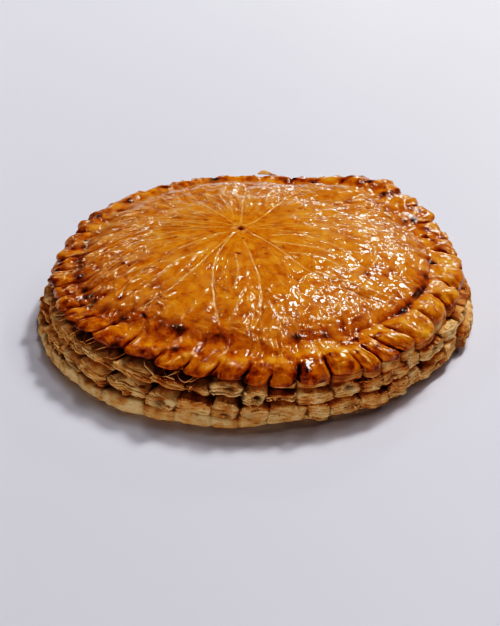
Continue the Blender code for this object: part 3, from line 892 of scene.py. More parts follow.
def makeBase(material):  # the bottom sheet with its sole, and the wall behind the blocks, painted dark as shade
    look, columns = layeredSide, columnTable(layeredSide["perLobe"], layeredSide["crowd"])
    rings = look["sheetRings"]
    face = [(*tierFace(3, (number + 0.5) / rings, columns), 0.0) for number in range(rings)]
    degrees, edge, low, slit, _ = face[0]
    high = sectionAt("lipFoot", degrees) - 2.5
    head = sectionAt("paleLayer", degrees) - look["wallSetBack"] - look["tornSetBack"] * tornShare(degrees)
    foot = sectionAt("lowerTier", degrees) - look["wallSetBack"]
    # Painted shade: the wall and its roof are fully shaded, the ledge more so near the wall
    wall = []
    for number in range(look["wallRings"]):
        t = number / (look["wallRings"] - 1)
        wall.append((degrees, head * (1.0 - t) + foot * t, high + (low - 0.3 - high) * t, 0.0, 1.0))
    roof = [(degrees, head * t, high, 0.0, 1.0) for t in (0.0, 0.5, 0.9)]
    ledge = [(degrees, foot + (edge - foot) * t, low + 0.1, slit, 0.5 * (1.0 - t)) for t in (0.35, 0.75)]
    degrees, edge, _, _ = tierFace(3, 1.0, columns)
    sole = [(degrees, edge * t, 0.0, 0.0, 0.0) for t in (1.0, 0.97, 0.85, 0.6, 0.3, 0.0)]
    return makeNet("bottom_sheet", material, columns, roof + wall + ledge + face + sole, True, 0.0)


doughBlocks = {
    "seed": 118,
    "grid": (40, 5, 32),        # faces across a block, in and up
    "reachIn": 9.0,             # half of its depth
    # Seeded for each block, at least and at most
    "faceStray": (-1.5, 0.8),   # how far a block's face, top and foot stray
    "topStray": (-1.0, 1.2),
    "footStray": (-1.4, 0.8),
    "lowFoot": (1.2, 2.4),      # height of its foot where the lower blocks hide the bottom sheet
    "edge": (1.5, 2.8),         # rounding of its edges
    "roll": (-0.13, 0.13),      # rise to one side, as a share of the way across
    "rollMore": (-0.05, 0.05),
    "yaw": (-0.10, 0.10),       # and how far that side stands out
    "layer": (1.0, 2.1),        # thickness of one dough layer
    "groove": (0.7, 2.0),       # how deep the layers part
    "lean": (-0.10, 0.10),      # slope of its layers
    "shear": (-0.22, 0.22),
    "bulge": (0.2, 1.6),
    "dish": (1.0, 2.6),         # depth of a hollow in the face, and where it lies
    "dishAt": (-0.35, 0.35),
    "dishUp": (-0.25, 0.4),
    "tone": (-0.10, 0.14),
    "chance": (0.0, 1.0),
    "amount": (0.5, 1.0),
    # The same for all of them
    "overlap": 1.06,            # width of a block as a share of the room between its cuts
    "wander": 1.2,              # how unevenly a block's sides run
    "sway": 0.9,                # how far both tiers rise and fall together
    "jut": 0.9,                 # how unevenly the layers end
    "lumps": ((8.0, 1.25), (3.6, 0.6)),
    "capShare": 0.45,           # blocks that a smooth, toasted skin closes
    "dishShare": 0.4,           # blocks with a hollow in the face
}


def blockTraits(tier):  # place, size and turn of each block of a tier, 1 above and 2 below
    look = doughBlocks
    rng = random.Random(look["seed"] + tier)

    def draw(name):
        return drawn(rng, look[name], lobeCount)

    shift = traits["upperShift" if tier == 1 else "lowerShift"]
    first, last = notches[:-1] + shift, notches[1:] + np.roll(shift, -1)
    middle = (first + last) / 2.0
    torn, fused = tornShare(middle), between(middle, 278.0, 303.0, 2.0)
    above, below = tierTops[tier], tierTops[tier + 1]
    face = sectionAt(tierFaces[tier], middle) + 0.5 * traits["reach"] + draw("faceStray") * (1.0 - fused)
    top = sectionAt(above, middle) + traits[above] + draw("topStray")
    foot = sectionAt(below, middle) + traits[below] + draw("footStray")
    top = top + (0.9 - 3.0 * torn if tier == 1 else 0.0) + fused * (0.0 if tier == 1 else 0.8)
    foot = foot - fused * (0.8 if tier == 1 else 0.0)
    if tier == 2:
        foot = foot + (draw("lowFoot") - foot) * lowShare(middle)
    scroll = between(middle, 252.0, 276.0, 2.0) * (1.0 if tier == 1 else 0.0)
    dished = np.maximum(draw("chance") < look["dishShare"], scroll > 0.5)
    return {
        "middle": middle, "face": face, "height": (top + foot) / 2.0, "halfHeight": (top - foot) / 2.0,
        "halfWidth": np.radians(last - first) * face / 2.0 * look["overlap"],
        "edge": draw("edge") + 1.3 * torn,
        "roll": draw("roll") * (1.0 - torn) - 0.18 * torn + draw("rollMore"),
        "yaw": draw("yaw"), "taper": 0.26 + 0.30 * torn * draw("amount"), "bulge": draw("bulge"),
        "thickness": draw("layer"), "groove": draw("groove"), "lean": draw("lean"),
        "cap": (draw("chance") < look["capShare"]) * draw("amount"),
        "dish": dished * draw("dish") * (1.0 + 0.6 * scroll), "dishAt": draw("dishAt"),
        "dishUp": draw("dishUp"), "tone": draw("tone"),
        "shear": draw("shear") * (1.0 - fused) + 0.32 * between(middle, 236.0, 276.0, 3.0),
    }


def boxOfFaces(grid):  # a box from -1 to 1 cut into a grid of faces, its hidden back left as one
    mesh = bmesh.new()
    bmesh.ops.create_cube(mesh, size=2.0)
    for axis, faces in enumerate(grid):
        whole = [edge for edge in mesh.edges if abs(edge.verts[0].co[axis] - edge.verts[1].co[axis]) > 1.9]
        bmesh.ops.subdivide_edges(mesh, edges=whole, cuts=faces - 1, use_grid_fill=True)
    back = [face for face in mesh.faces if face.calc_center_median().y < -0.99]
    bmesh.ops.dissolve_faces(mesh, faces=back)
    return mesh


def makeBlocks(name, tier, material):
    look, seed = doughBlocks, doughBlocks["seed"] + 10 * tier
    mesh, unit, block = manyOf(boxOfFaces(look["grid"]), lobeCount)
    own = {trait: values[block] for trait, values in blockTraits(tier).items()}

    # The box with rounded edges, across, outward and up
    half = triples(own["halfWidth"], look["reachIn"], own["halfHeight"])
    edge = np.minimum(own["edge"], 0.9 * own["halfHeight"])[:, None]
    inner = np.clip(unit * half, edge - half, half - edge)
    normal = unit * half - inner
    normal = normal / np.linalg.norm(normal, axis=1)[:, None]
    local = inner + edge * normal
    share, level, side = local[:, 0] / half[:, 0], local[:, 2] / half[:, 2], np.sign(local[:, 0])
    front = smoothStep(0.1, 0.8, normal[:, 1])
    outer = smoothStep(-0.6, 0.2, unit[:, 1])
    local[:, 2] *= 1.0 - own["taper"] * share**2
    local[:, 1] += own["bulge"] * (1.0 - share**2) * (1.0 - 0.6 * level**2) * outer

    # Round the cake
    uneven = waves(triples(block * 5.3, level * 1.6, side * 2.0), 1.0, seed + 12)
    local[:, 0] += own["shear"] * local[:, 2] + look["wander"] * uneven * np.abs(share) * outer
    degrees = own["middle"] + np.degrees(local[:, 0] / own["face"])
    turn = np.radians(degrees)
    radius = own["face"] - look["reachIn"] + local[:, 1] + own["yaw"] * local[:, 0] * outer
    height = own["height"] + local[:, 2] + own["roll"] * local[:, 0]
    height = height + look["sway"] * waves(onRing(turn, 120.0, 0.0), 13.0, look["seed"] + 40)
    points = onRing(turn, radius, height)

    # Parted layers, a skin that closes some blocks, a hollow in others, and lumps
    leant = local[:, 2] + own["lean"] * local[:, 0] + block * 3.7
    jut, groove = layering(triples(points[:, 0], points[:, 1], leant), block, own["thickness"], seed)
    capped = own["cap"] * smoothStep(-0.1, 0.5, level + 0.5 * waves(points, 6.0, seed + 7))
    groove = groove * (1.0 - 0.85 * capped)
    layered = (look["jut"] * jut * (1.0 - 0.7 * capped) - own["groove"] * groove) * front
    dish = bell(share, own["dishAt"], 0.42) * bell(level, own["dishUp"], 0.42) * front * (1.0 - 0.4 * capped)
    sunk = own["dish"] * dish
    lumps = bands(points, look["lumps"], seed + 4)
    crumb = 0.3 * waves(points, 1.9, seed + 6) + 0.2 * waves(points, 1.15, seed + 8)
    away = (lumps + crumb) * outer
    radius = radius + layered - sunk + away * normal[:, 1]
    height = height + away * normal[:, 2]
    turn = turn + away * normal[:, 0] / radius
    points = onRing(turn, radius, height)

    # Painted shade: darker in the layers' grooves, in the hollows, at the joints between blocks, underneath
    # and on the hidden back
    joint, under = smoothStep(0.3, 0.95, np.abs(normal[:, 0])), smoothStep(0.1, 0.9, -normal[:, 2])
    hollow = 0.75 * groove * front + 0.32 * sunk + 0.75 * joint + 0.6 * under + 1.0 - outer
    ledge = smoothStep(0.1, 0.7, normal[:, 2])
    toast = 0.17 + own["tone"] + 0.34 * waves(points, 6.0, seed + 9)
    toast = toast + 0.40 * capped * (0.4 + 0.6 * ledge) + 0.10 * ledge
    toast = toast + 0.14 * smoothStep(0.2, 0.9, jut) * front + backShade(degrees)
    fields = {"toast": toast, "hollow": np.clip(hollow, 0.0, 1.0)}
    return finishPiece(mesh, name, points, fields, material)


looseFlakes = {
    "seed": 203,
    "grid": (10, 5),
    "thickness": 0.4,
    "sunk": 0.35,               # how deep a root sits in the dough
    "downward": 0.6,            # share of those on a face that point down
    "curlStray": (-0.6, 1.4),   # times its kind's curl
    "taper": (0.1, 0.7),
    "skew": (-0.6, 0.6),
    "spin": (-0.35, 0.35),
    "toast": (0.42, 0.35, 225),     # tone, how far it varies, and the seed of that
    # Kind; count; first and last angle; how far up the surface faces, at least and at most, as a sine;
    # length; width; how far it lifts in degrees; curl
    "kinds": (
        ("ledge", 26, 185, 262, 0.5, 0.95, (5.0, 12.0), (1.2, 2.6), (0.0, 12.0), 0.12),
        ("ledge", 10, -60, 60, 0.5, 0.95, (4.0, 8.0), (1.2, 2.4), (2.0, 22.0), 0.1),
        ("ledge", 16, 60, 185, 0.5, 0.95, (4.0, 9.0), (1.4, 2.8), (2.0, 22.0), 0.1),
        ("face", 44, 180, 300, -0.2, 0.3, (3.0, 8.0), (0.8, 1.8), (5.0, 34.0), 0.15),
        ("face", 26, -60, 180, -0.2, 0.3, (3.0, 6.0), (0.8, 1.6), (5.0, 28.0), 0.15),
    ),
    # The pale scrap that stands up behind the rim: angle, radius and height; how far outward and up the dough
    # faces there; length, width, lift in degrees, curl, way, taper, skew and spin
    "backFlake": (87.0, 114.5, 35.6, 0.5, 0.866, 12.0, 4.5, 28.0, 0.15, -1.0, 0.3, 0.3, 0.1),
}

clinging = {                    # where flakes and crumbs find a hold
    "leastRadius": 112.0,
    "leastHeight": 3.0,
    "leastOutward": 0.15,       # how far outward the surface faces, as a sine
}


def surfaceSpots(pieces, count, seed, first, last, low, high):
    # Seeded places on finished pieces, in the form's millimetres, and the way the surface faces there
    points, normals = [], []
    for piece in pieces:
        place, facing = np.empty((2, len(piece.data.vertices) * 3))
        piece.data.vertices.foreach_get("co", place)
        piece.data.vertex_normals.foreach_get("vector", facing)
        points.append(place.reshape(-1, 3) / mm)
        normals.append(facing.reshape(-1, 3))
    points, normals = np.concatenate(points) + (*cakeForm["boxMiddle"], 0.0), np.concatenate(normals)
    radius = np.hypot(points[:, 0], points[:, 1])
    outward = (points[:, 0] * normals[:, 0] + points[:, 1] * normals[:, 1]) / np.maximum(radius, 1.0)
    degrees = angleOf(points[:, 0], points[:, 1])
    good = (between(degrees, first, last, 0.5) > 0.5) & (normals[:, 2] > low) & (normals[:, 2] < high)
    good &= (outward > clinging["leastOutward"]) & (radius > clinging["leastRadius"])
    good &= points[:, 2] > clinging["leastHeight"]
    chosen = np.random.default_rng(seed).choice(np.flatnonzero(good), count, replace=False)
    return points[chosen], normals[chosen]


def flakeTraits(sides):
    # Where each flake is rooted, how the dough faces there, and its length, width, lift, curl, way, taper,
    # skew and spin
    look = looseFlakes
    rng = random.Random(look["seed"])
    roots, facings, rows = [], [], []
    for number, (kind, count, *spread, lengths, widths, lifts, curl) in enumerate(look["kinds"]):
        spots, normals = surfaceSpots(sides, count, look["seed"] + number, *spread)
        roots.append(spots)
        facings.append(normals)
        for _ in range(count):
            way = -1.0 if kind == "ledge" or rng.random() < look["downward"] else 1.0
            rows.append((
                rng.uniform(*lengths), rng.uniform(*widths), math.radians(rng.uniform(*lifts)),
                curl * rng.uniform(*look["curlStray"]), way, rng.uniform(*look["taper"]),
                rng.uniform(*look["skew"]), rng.uniform(*look["spin"]),
            ))
    angle, radius, height, outward, upward, length, width, lift, *others = look["backFlake"]
    roots.append(onRing(np.radians([angle]), radius, height))
    facings.append(onRing(np.radians([angle]), outward, upward))
    rows.append((length, width, math.radians(lift), *others))
    return np.concatenate(roots), np.concatenate(facings), np.array(rows)


def makeFlakes(material, sides):  # scraps of a single dough layer that lifted off the ledges and faces
    look = looseFlakes
    root, facing, rows = flakeTraits(sides)
    mesh = bmesh.new()
    bmesh.ops.create_grid(mesh, x_segments=look["grid"][0], y_segments=look["grid"][1], size=1.0)
    mesh, grid, flake = manyOf(mesh, len(rows))
    u, v = grid[:, 0], (grid[:, 1] + 1.0) / 2.0
    length, width, lift, curl, way, taper, skew, spin = rows[flake].T
    turn = np.arctan2(root[:, 1], root[:, 0])
    circle = triples(-np.sin(turn), np.cos(turn), 0.0)
    along = circle - facing * np.sum(circle * facing, axis=1)[:, None]
    along /= np.linalg.norm(along, axis=1)[:, None]
    across = np.cross(facing, along)
    spot = triples(u * 1.1 + flake * 5.3, v * 0.9, flake * 2.7)
    ragged = (1.0 + 0.4 * waves(spot, 1.0, look["seed"] + 20)) * (1.0 - 0.75 * np.abs(u) ** 2.2)
    reach = v * width * ragged
    sideways = u * length * 0.5 * (1.0 - taper * v) + skew * v * width
    forward = reach * np.cos(lift) * way + spin * sideways
    rise = reach * np.sin(lift) + curl * v * reach - look["sunk"]
    rise = rise + 0.35 * waves(spot * 0.8, 1.0, look["seed"] + 21)
    points = root[flake] + along[flake] * sideways[:, None] + across[flake] * forward[:, None]
    return thinPiece(mesh, "loose_flakes", points + facing[flake] * rise[:, None], look, material)


tornStrands = {
    "seed": 311,
    "toast": (0.34, 0.3, 313),
    "count": 26,
    "angles": (186.0, 258.0),
    "drift": (1.5, 6.0),            # degrees round the cake from its upper to its lower end, either way
    "sag": (0.5, 2.5),
    "twist": (0.0, 3.0),
    "cells": 20,
    "width": (0.35, 1.1),
    "thickness": 0.4,
}


def makeStrands(material):
    # Thin strips of dough that still bridge the gap under the lip where the layers tore
    look = tornStrands
    rng = random.Random(look["seed"])
    mesh = bmesh.new()
    bmesh.ops.create_grid(mesh, x_segments=look["cells"], y_segments=1, size=1.0)
    mesh, grid, strand = manyOf(mesh, look["count"])
    t, side = (grid[:, 0] + 1.0) / 2.0, grid[:, 1]
    rows = []
    for _ in range(look["count"]):
        first = rng.uniform(*look["angles"])
        last = first + rng.choice((-1, 1)) * rng.uniform(*look["drift"])
        rows.append((first, last, *(rng.uniform(*look[name]) for name in ("width", "sag", "twist"))))
    first, last, width, sag, twist = np.array(rows)[strand].T
    high, low = sectionAt("lipFoot", first) - 1.2, sectionAt("upperSeam", last) - 1.6
    out, ledge = sectionAt("paleLayer", first) - 1.5, sectionAt("upperTier", last) - 1.5
    radius = out + (ledge - out) * t + sag * np.sin(math.pi * t)
    height = high + (low - high) * t**1.4 - 0.6 * sag * np.sin(math.pi * t)
    spot = triples(t * 3.0 + strand * 4.1, side * 0.2, strand * 1.7)
    radius = radius + 0.7 * waves(spot, 1.0, look["seed"]) + side * 0.5 * width * np.sin(twist)
    height = height + 0.7 * waves(spot, 1.0, look["seed"] + 1) + side * 0.5 * width * np.cos(twist)
    points = onRing(np.radians(first + (last - first) * t), radius, height)
    return thinPiece(mesh, "torn_strands", points, look, material)


looseCrumbs = {
    "seed": 402,
    "count": 620,
    "size": (0.2, 0.75),
    "squash": (0.6, 1.5),
}


def makeCrumbs(material, sides):
    look = looseCrumbs
    rng = random.Random(look["seed"])
    root, facing = surfaceSpots(sides, look["count"], look["seed"], 0.0, 359.9, 0.1, 1.0)
    mesh = bmesh.new()
    bmesh.ops.create_icosphere(mesh, subdivisions=2, radius=1.0)
    mesh, unit, crumb = manyOf(mesh, look["count"])
    low, high = look["size"]
    size = np.array([low + (high - low) * rng.random() ** 2.5 for _ in range(look["count"])])[crumb]
    squash = np.array([drawn(rng, look["squash"], 3) for _ in range(look["count"])])[crumb]
    rough = 1.0 + 0.5 * waves(unit * 0.9 + (crumb * 3.9)[:, None], 1.0, look["seed"] + 1)
    points = (root + facing * 0.1)[crumb] + unit * squash * (size * rough)[:, None]
    tone = 0.2 + 0.3 * waves(points, 9.0, look["seed"] + 2)
    return finishPiece(mesh, "crumbs", points, {"toast": tone, "hollow": np.zeros(len(tone))}, material)


def colour(hexText):  # an sRGB hex value turned linear
    channels = [int(hexText[n:n + 2], 16) / 255.0 for n in (1, 3, 5)]
    linear = [c / 12.92 if c <= 0.04045 else ((c + 0.055) / 1.055) ** 2.4 for c in channels]
    return (*linear, 1.0)


def addNode(tree, kind, settings=None, links=None):  # a link starts at a socket, or a node's first output
    made = tree.nodes.new("ShaderNode" + kind)
    for name, value in (settings or {}).items():
        if name == "stops":  # a colour ramp's places and colours
            for spare in list(made.color_ramp.elements)[1:]:
                made.color_ramp.elements.remove(spare)
            made.color_ramp.elements[0].position = value[0][0]
            made.color_ramp.elements[0].color = colour(value[0][1])
            for position, hexText in value[1:]:
                made.color_ramp.elements.new(position).color = colour(hexText)
        elif isinstance(name, int) or name in made.inputs:
            made.inputs[name].default_value = value
        else:
            setattr(made, name, value)
    for socket, source in (links or {}).items():
        start = source.outputs[0] if isinstance(source, bpy.types.Node) else source
        tree.links.new(start, made.inputs[socket])
    return made


def newMaterial(name):
    material = bpy.data.materials.new(name)
    material.use_nodes = True
    tree = material.node_tree
    tree.nodes.clear()
    return material, tree


def perMetre(millimetres):  # a noise scale for a pattern of that size
    return 1000.0 / millimetres


glazedPastry = {
    "tones": (
        (0.0, "#e69f3c"), (0.25, "#d8851b"), (0.45, "#c4700f"), (0.65, "#9e4c0a"), (0.85, "#632a08"),
        (1.0, "#2e1107"),
    ),
    "paleTone": "#f0c28a",
    "scorchAndShadeTone": "#2a0e09",
    # Size of a pattern, its detail, roughness and distortion
    "mottle": (7.0, 5.0, 0.62, 0.6),
    "speckle": (1.7, 3.0, 0.6, 0.0),
    "pores": (1.3, 1.0, 0.5, 0.0),
    "grain": (0.9, 2.0, 0.55, 0.0),
    "mottleShare": 0.90,        # how far each of them darkens and lightens the tone
    "speckleShare": 0.56,
    "poreShare": 0.18,
    "scorchAndShadeShare": 0.85,
    "roughness": 0.36,
    "specular": 0.1,
    "syrupRoughness": 0.06,
    "syrupIor": 1.47,
}


def glazedPastryMaterial():
    # Egg washed puff pastry, baked deep golden and brushed with hot syrup. The eye sees an orange brown that
    # darkens where it caught, with painted shade in the rim's cuts and paler crests that are partly painted
    # sheen, under a clear, wet film that breaks every light into small sharp flashes.
    look = glazedPastry
    material, tree = newMaterial("syrup_glazed_pastry")
    place = addNode(tree, "TexCoord").outputs["Object"]
    bake, pale, scorch, coarse = [
        addNode(tree, "Attribute", {"attribute_name": field}).outputs["Fac"]
        for field in ("bake", "pale", "scorch", "grain")
    ]
    patterns = []
    for name in ("mottle", "speckle", "pores", "grain"):
        size, detail, rough, twist = look[name]
        settings = {"Scale": perMetre(size), "Detail": detail, "Roughness": rough, "Distortion": twist}
        patterns.append(addNode(tree, "TexNoise", settings, {"Vector": place}))
    mottle, speckle, pores, grain = patterns
    big, small = look["mottleShare"], look["speckleShare"]
    first = addNode(tree, "Math", {"operation": "MULTIPLY_ADD", 1: big, 2: -0.5 * big}, {0: mottle})
    second = addNode(tree, "Math", {"operation": "MULTIPLY_ADD", 1: small, 2: -0.5 * small}, {0: speckle})
    both = addNode(tree, "Math", {"operation": "ADD"}, {0: first, 1: second})
    opened = addNode(
        tree, "Math", {"operation": "MULTIPLY_ADD", 1: -6.0, 2: 2.4, "use_clamp": True}, {0: pores}
    )
    pored = addNode(tree, "Math", {"operation": "MULTIPLY_ADD", 1: look["poreShare"]}, {0: opened, 2: both})
    level = addNode(tree, "Math", {"operation": "ADD", "use_clamp": True}, {0: pored, 1: bake})
    tone = addNode(tree, "ValToRGB", {"stops": look["tones"]}, {"Fac": level})
    broken = addNode(tree, "Math", {"operation": "MULTIPLY_ADD", 1: 4.4, 2: -1.3}, {0: speckle})
    paler = addNode(tree, "Math", {"operation": "MULTIPLY", "use_clamp": True}, {0: pale, 1: broken})
    lighter = addNode(tree, "Mix", {"data_type": "RGBA", 7: colour(look["paleTone"])}, {0: paler, 6: tone})
    # Scorch marks and the painted shade in the rim's cuts blacken the tone
    settings = {"operation": "MULTIPLY", 1: look["scorchAndShadeShare"], "use_clamp": True}
    blacker = addNode(tree, "Math", settings, {0: scorch})
    settings = {"data_type": "RGBA", 7: colour(look["scorchAndShadeTone"])}
    burntAndShaded = addNode(tree, "Mix", settings, {0: blacker, 6: lighter.outputs[2]})
    peel = addNode(tree, "Math", {"operation": "MULTIPLY"}, {0: grain, 1: coarse})
    pebble = addNode(tree, "Math", {"operation": "MULTIPLY"}, {0: speckle, 1: coarse})
    bump = addNode(tree, "Bump", {"Strength": 0.8, "Distance": 0.4 * mm}, {"Height": peel})
    skin = addNode(tree, "Bump", {"Strength": 0.8, "Distance": 0.6 * mm}, {"Height": pebble, "Normal": bump})
    film = addNode(tree, "Bump", {"Strength": 0.4, "Distance": 0.3 * mm}, {"Height": pebble})
    shader = addNode(
        tree, "BsdfPrincipled",
        {
            "Roughness": look["roughness"], "IOR": 1.45, "Specular IOR Level": look["specular"],
            "Coat Weight": 1.0, "Coat Roughness": look["syrupRoughness"], "Coat IOR": look["syrupIor"],
        },
        {"Base Color": burntAndShaded.outputs[2], "Normal": skin, "Coat Normal": film},
    )
    addNode(tree, "OutputMaterial", {}, {"Surface": shader})
    return material


bakedLayers = {
    "tones": ((0.0, "#f2d4a6"), (0.22, "#e6b883"), (0.45, "#d0955a"), (0.7, "#ab6835"), (1.0, "#663316")),
    # Painted shade: the tone of the gaps, grooves, joints, undersides and hidden faces
    "shadeTone": "#3a1a0c",
    # Size of a pattern, its detail and roughness
    "mottle": (5.0, 5.0, 0.65),
    "streak": (2.2, 3.0, 0.6),
    "grain": (0.9, 3.0, 0.5),
    "flattened": (0.35, 0.35, 2.2),     # how the streaks are pressed into layers
    "mottleShare": 0.6,
    "streakShare": 0.7,
    "shadeShare": 0.9,
    "roughness": 0.62,
    "specular": 0.4,
}


def bakedLayersMaterial():
    # Unglazed puff pastry. Its cut layers stay pale and dry and toast to brown where they stand proud; painted
    # shade darkens the gaps, grooves, joints, undersides and hidden faces, so the eye sees a matt, streaky tan
    # with brown edges.
    look = bakedLayers
    material, tree = newMaterial("baked_pastry_layers")
    place = addNode(tree, "TexCoord").outputs["Object"]
    toast, hollow = [
        addNode(tree, "Attribute", {"attribute_name": field}).outputs["Fac"] for field in ("toast", "hollow")
    ]
    flattened = addNode(tree, "Mapping", {"Scale": look["flattened"]}, {"Vector": place})
    patterns = []
    for name, spot in (("mottle", place), ("streak", flattened), ("grain", place)):
        size, detail, rough = look[name]
        settings = {"Scale": perMetre(size), "Detail": detail, "Roughness": rough}
        patterns.append(addNode(tree, "TexNoise", settings, {"Vector": spot}))
    mottle, streak, grain = patterns
    big, small = look["mottleShare"], look["streakShare"]
    first = addNode(tree, "Math", {"operation": "MULTIPLY_ADD", 1: big, 2: -0.5 * big}, {0: mottle})
    second = addNode(tree, "Math", {"operation": "MULTIPLY_ADD", 1: small, 2: -0.5 * small}, {0: streak})
    both = addNode(tree, "Math", {"operation": "ADD"}, {0: first, 1: second})
    level = addNode(tree, "Math", {"operation": "ADD", "use_clamp": True}, {0: both, 1: toast})
    tone = addNode(tree, "ValToRGB", {"stops": look["tones"]}, {"Fac": level})
    # Painted shade darkens the tone
    settings = {"operation": "MULTIPLY", 1: look["shadeShare"], "use_clamp": True}
    share = addNode(tree, "Math", settings, {0: hollow})
    darker = addNode(tree, "Mix", {"data_type": "RGBA", 7: colour(look["shadeTone"])}, {0: share, 6: tone})
    bump = addNode(tree, "Bump", {"Strength": 0.7, "Distance": 0.5 * mm}, {"Height": grain})
    skin = addNode(tree, "Bump", {"Strength": 0.7, "Distance": 0.6 * mm}, {"Height": streak, "Normal": bump})
    shader = addNode(
        tree, "BsdfPrincipled",
        {"Roughness": look["roughness"], "IOR": 1.45, "Specular IOR Level": look["specular"]},
        {"Base Color": darker.outputs[2], "Normal": skin},
    )
    addNode(tree, "OutputMaterial", {}, {"Surface": shader})
    return material


studio = {
    "floorSize": 2400.0,
    "fade": (750.0, 1150.0),     # from here to there, outward, the floor fades into the even backdrop
    "backdropTone": "#cccdd8",
    "aimHeight": 25.0,           # the lamps point at the cake's middle
    "floorTone": "#d5d6e5",
    "floorRoughness": 0.5,
    # How bright the room is at a few heights above the horizon, as the sine of the height
    "room": (
        (0.0, "#cccdd8"), (0.03, "#98999f"), (0.08, "#6b6c71"), (0.18, "#1e1f21"), (0.40, "#0a0b0c"),
        (1.0, "#070809"),
    ),
    "roomStrength": 0.9,
    # Large lamps that the glaze doesn't mirror: name; angle round the cake; height in degrees; distance;
    # width and height; power in watts; tone
    "lamps": (
        ("key", 60.0, 46.0, 3000.0, 420, 420, 61.0, "#fffcf8"),
        ("fill", 76.0, 56.0, 3000.0, 500, 500, 12.0, "#fffcf8"),
        ("front", 260.0, 3.6, 3400.0, 1275, 340, 33.0, "#fff3e6"),
    ),
    # Small ones that it mirrors, all in one tone
    "glintTone": "#fffdfa",
    "glints": (
        ("glintHigh", 75.0, 56.0, 3000.0, 200, 200, 7.0), ("glintRight", 68.0, 25.0, 3000.0, 200, 200, 6.5),
        ("glintKey", 60.0, 47.0, 3000.0, 200, 200, 8.0), ("glintLobes", 40.0, 42.0, 3000.0, 170, 170, 6.5),
        ("glintSouth", 14.0, 44.0, 3000.0, 170, 170, 6.5), ("glintNorth", 155.0, 52.0, 3000.0, 110, 110, 1.6),
        ("glintTop", 72.0, 69.0, 3000.0, 180, 180, 6.5), ("glintZenith", 84.0, 82.0, 3000.0, 130, 130, 2.4),
        ("glintLeft", 112.0, 24.0, 3000.0, 140, 140, 2.0), ("glintSide", 126.0, 42.0, 3000.0, 160, 160, 3.0),
        ("glintBack", 84.0, 8.0, 3000.0, 120, 60, 1.0), ("glintFront", 256.0, 24.0, 3400.0, 200, 200, 2.6),
        ("glintWest", 200.0, 26.0, 3400.0, 220, 220, 3.0), ("glintEast", 318.0, 26.0, 3400.0, 160, 160, 1.8),
    ),
    # What the film makes of the light: brightness in, as a share of white, and brightness out
    "white": 1.5,
    "film": ((0.02, 0.005), (0.05, 0.028), (0.10, 0.10), (0.18, 0.24), (0.42, 0.62), (0.66, 0.86)),
}


def makeStudio():
    mesh = bmesh.new()
    bmesh.ops.create_circle(mesh, cap_ends=True, segments=96, radius=studio["floorSize"] / 2.0 * mm)
    data = bpy.data.meshes.new("floor")
    mesh.to_mesh(data)
    mesh.free()
    # A plain, pale, slightly polished studio table that fades into the backdrop far behind the cake
    material, tree = newMaterial("plain_floor")
    near, far = studio["fade"]
    settings = {"Base Color": colour(studio["floorTone"]), "Roughness": studio["floorRoughness"]}
    table = addNode(tree, "BsdfPrincipled", settings)
    settings = {"Color": colour(studio["backdropTone"]), "Strength": studio["roomStrength"]}
    backdrop = addNode(tree, "Emission", settings)
    place = addNode(tree, "TexCoord").outputs["Object"]
    out = addNode(tree, "VectorMath", {"operation": "LENGTH"}, {0: place}).outputs["Value"]
    settings = {"interpolation_type": "SMOOTHSTEP", 1: near * mm, 2: far * mm}
    faded = addNode(tree, "MapRange", settings, {0: out})
    both = addNode(tree, "MixShader", {}, {0: faded, 1: table, 2: backdrop})
    addNode(tree, "OutputMaterial", {}, {"Surface": both})
    data.materials.append(material)
    floor = addObject("floor", data)


def makeRoom():  # a dark room, a little brighter towards the horizon, and the backdrop's tone below it
    world = bpy.data.worlds.new("room")
    world.use_nodes = True
    tree = world.node_tree
    tree.nodes.clear()
    direction = addNode(tree, "TexCoord").outputs["Generated"]
    up = addNode(tree, "SeparateXYZ", {}, {0: direction}).outputs["Z"]
    tone = addNode(tree, "ValToRGB", {"stops": studio["room"]}, {"Fac": up})
    below = addNode(tree, "Math", {"operation": "LESS_THAN", 1: 0.0}, {0: up})
    settings = {"data_type": "RGBA", 7: colour(studio["backdropTone"])}
    whole = addNode(tree, "Mix", settings, {0: below, 6: tone})
    room = addNode(tree, "Background", {"Strength": studio["roomStrength"]}, {"Color": whole.outputs[2]})
    addNode(tree, "OutputWorld", {}, {"Surface": room})
    bpy.context.scene.world = world


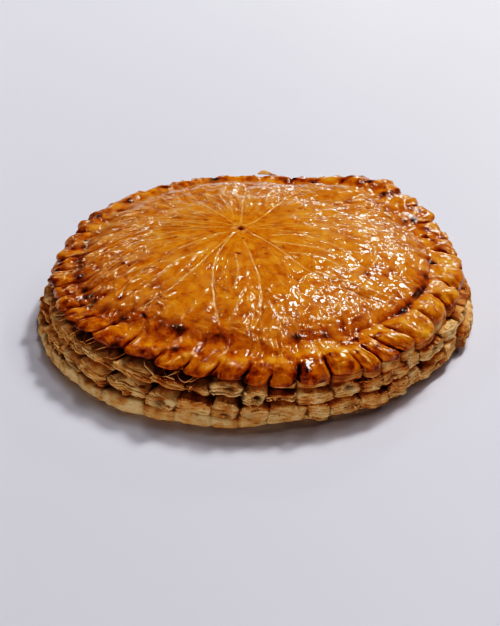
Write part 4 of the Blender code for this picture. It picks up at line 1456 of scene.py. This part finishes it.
def makeLights():
    glints = [(*row, studio["glintTone"]) for row in studio["glints"]]
    for mirrored, lamps in ((False, studio["lamps"]), (True, glints)):
        for name, angle, height, distance, wide, high, power, tone in lamps:
            lamp = bpy.data.lights.new(name, "AREA")
            lamp.shape, lamp.size, lamp.size_y = "RECTANGLE", wide * mm, high * mm
            lamp.energy, lamp.color = power, colour(tone)[:3]
            light = addObject(name, lamp)
            light.visible_glossy = mirrored
            around, up = math.radians(angle), math.radians(height)
            direction = (math.cos(up) * math.cos(around), math.cos(up) * math.sin(around), math.sin(up))
            light.location = [distance * mm * value for value in direction]
            aim = light.location.copy()
            aim.z -= studio["aimHeight"] * mm
            light.rotation_euler = aim.to_track_quat("Z", "Y").to_euler()


def setFilm():  # a photograph's contrast: deep shadows and a soft shoulder
    view = bpy.context.scene.view_settings
    view.view_transform = "Standard"
    view.use_curve_mapping = True
    view.curve_mapping.white_level = (studio["white"],) * 3
    for place, value in studio["film"]:
        view.curve_mapping.curves[3].points.new(place, value)
    view.curve_mapping.update()


photoCamera = {
    "distance": 700.0,
    "elevation": 29.5,
    "focal": 1200.4,               # in pixels of a picture 500 wide and 626 high
    "picture": (500, 626),
    "aim": (257.4, 307.5),         # the pixel that the middle of the form lands on
    "sensor": 36.0,
}


def makeCamera():
    view = photoCamera
    wide, high = view["picture"]
    data = bpy.data.cameras.new("camera")
    data.sensor_width = view["sensor"]
    data.lens = view["focal"] / high * view["sensor"]
    data.shift_x = (wide / 2.0 - view["aim"][0]) / high
    data.shift_y = (view["aim"][1] - high / 2.0) / high
    camera = addObject("camera", data)
    lift = math.radians(view["elevation"])
    middle = cakeForm["boxMiddle"]
    back, up = view["distance"] * math.cos(lift), view["distance"] * math.sin(lift)
    camera.location = (-middle[0] * mm, (-back - middle[1]) * mm, up * mm)
    camera.rotation_euler = (math.pi / 2.0 - lift, 0.0, 0.0)
    bpy.context.scene.camera = camera


makeCamera()
makeStudio()
makeRoom()
makeLights()
setFilm()
print("camera, floor, room and lamps made")
glazed = glazedPastryMaterial()
baked = bakedLayersMaterial()
print("materials made")
makeDome(glazed)
makeRim(glazed)
makeLipLayers(baked)
makeBase(baked)
sides = [makeBlocks("upper_blocks", 1, baked), makeBlocks("lower_blocks", 2, baked)]
makeFlakes(baked, sides)
makeStrands(baked)
makeCrumbs(baked, sides)
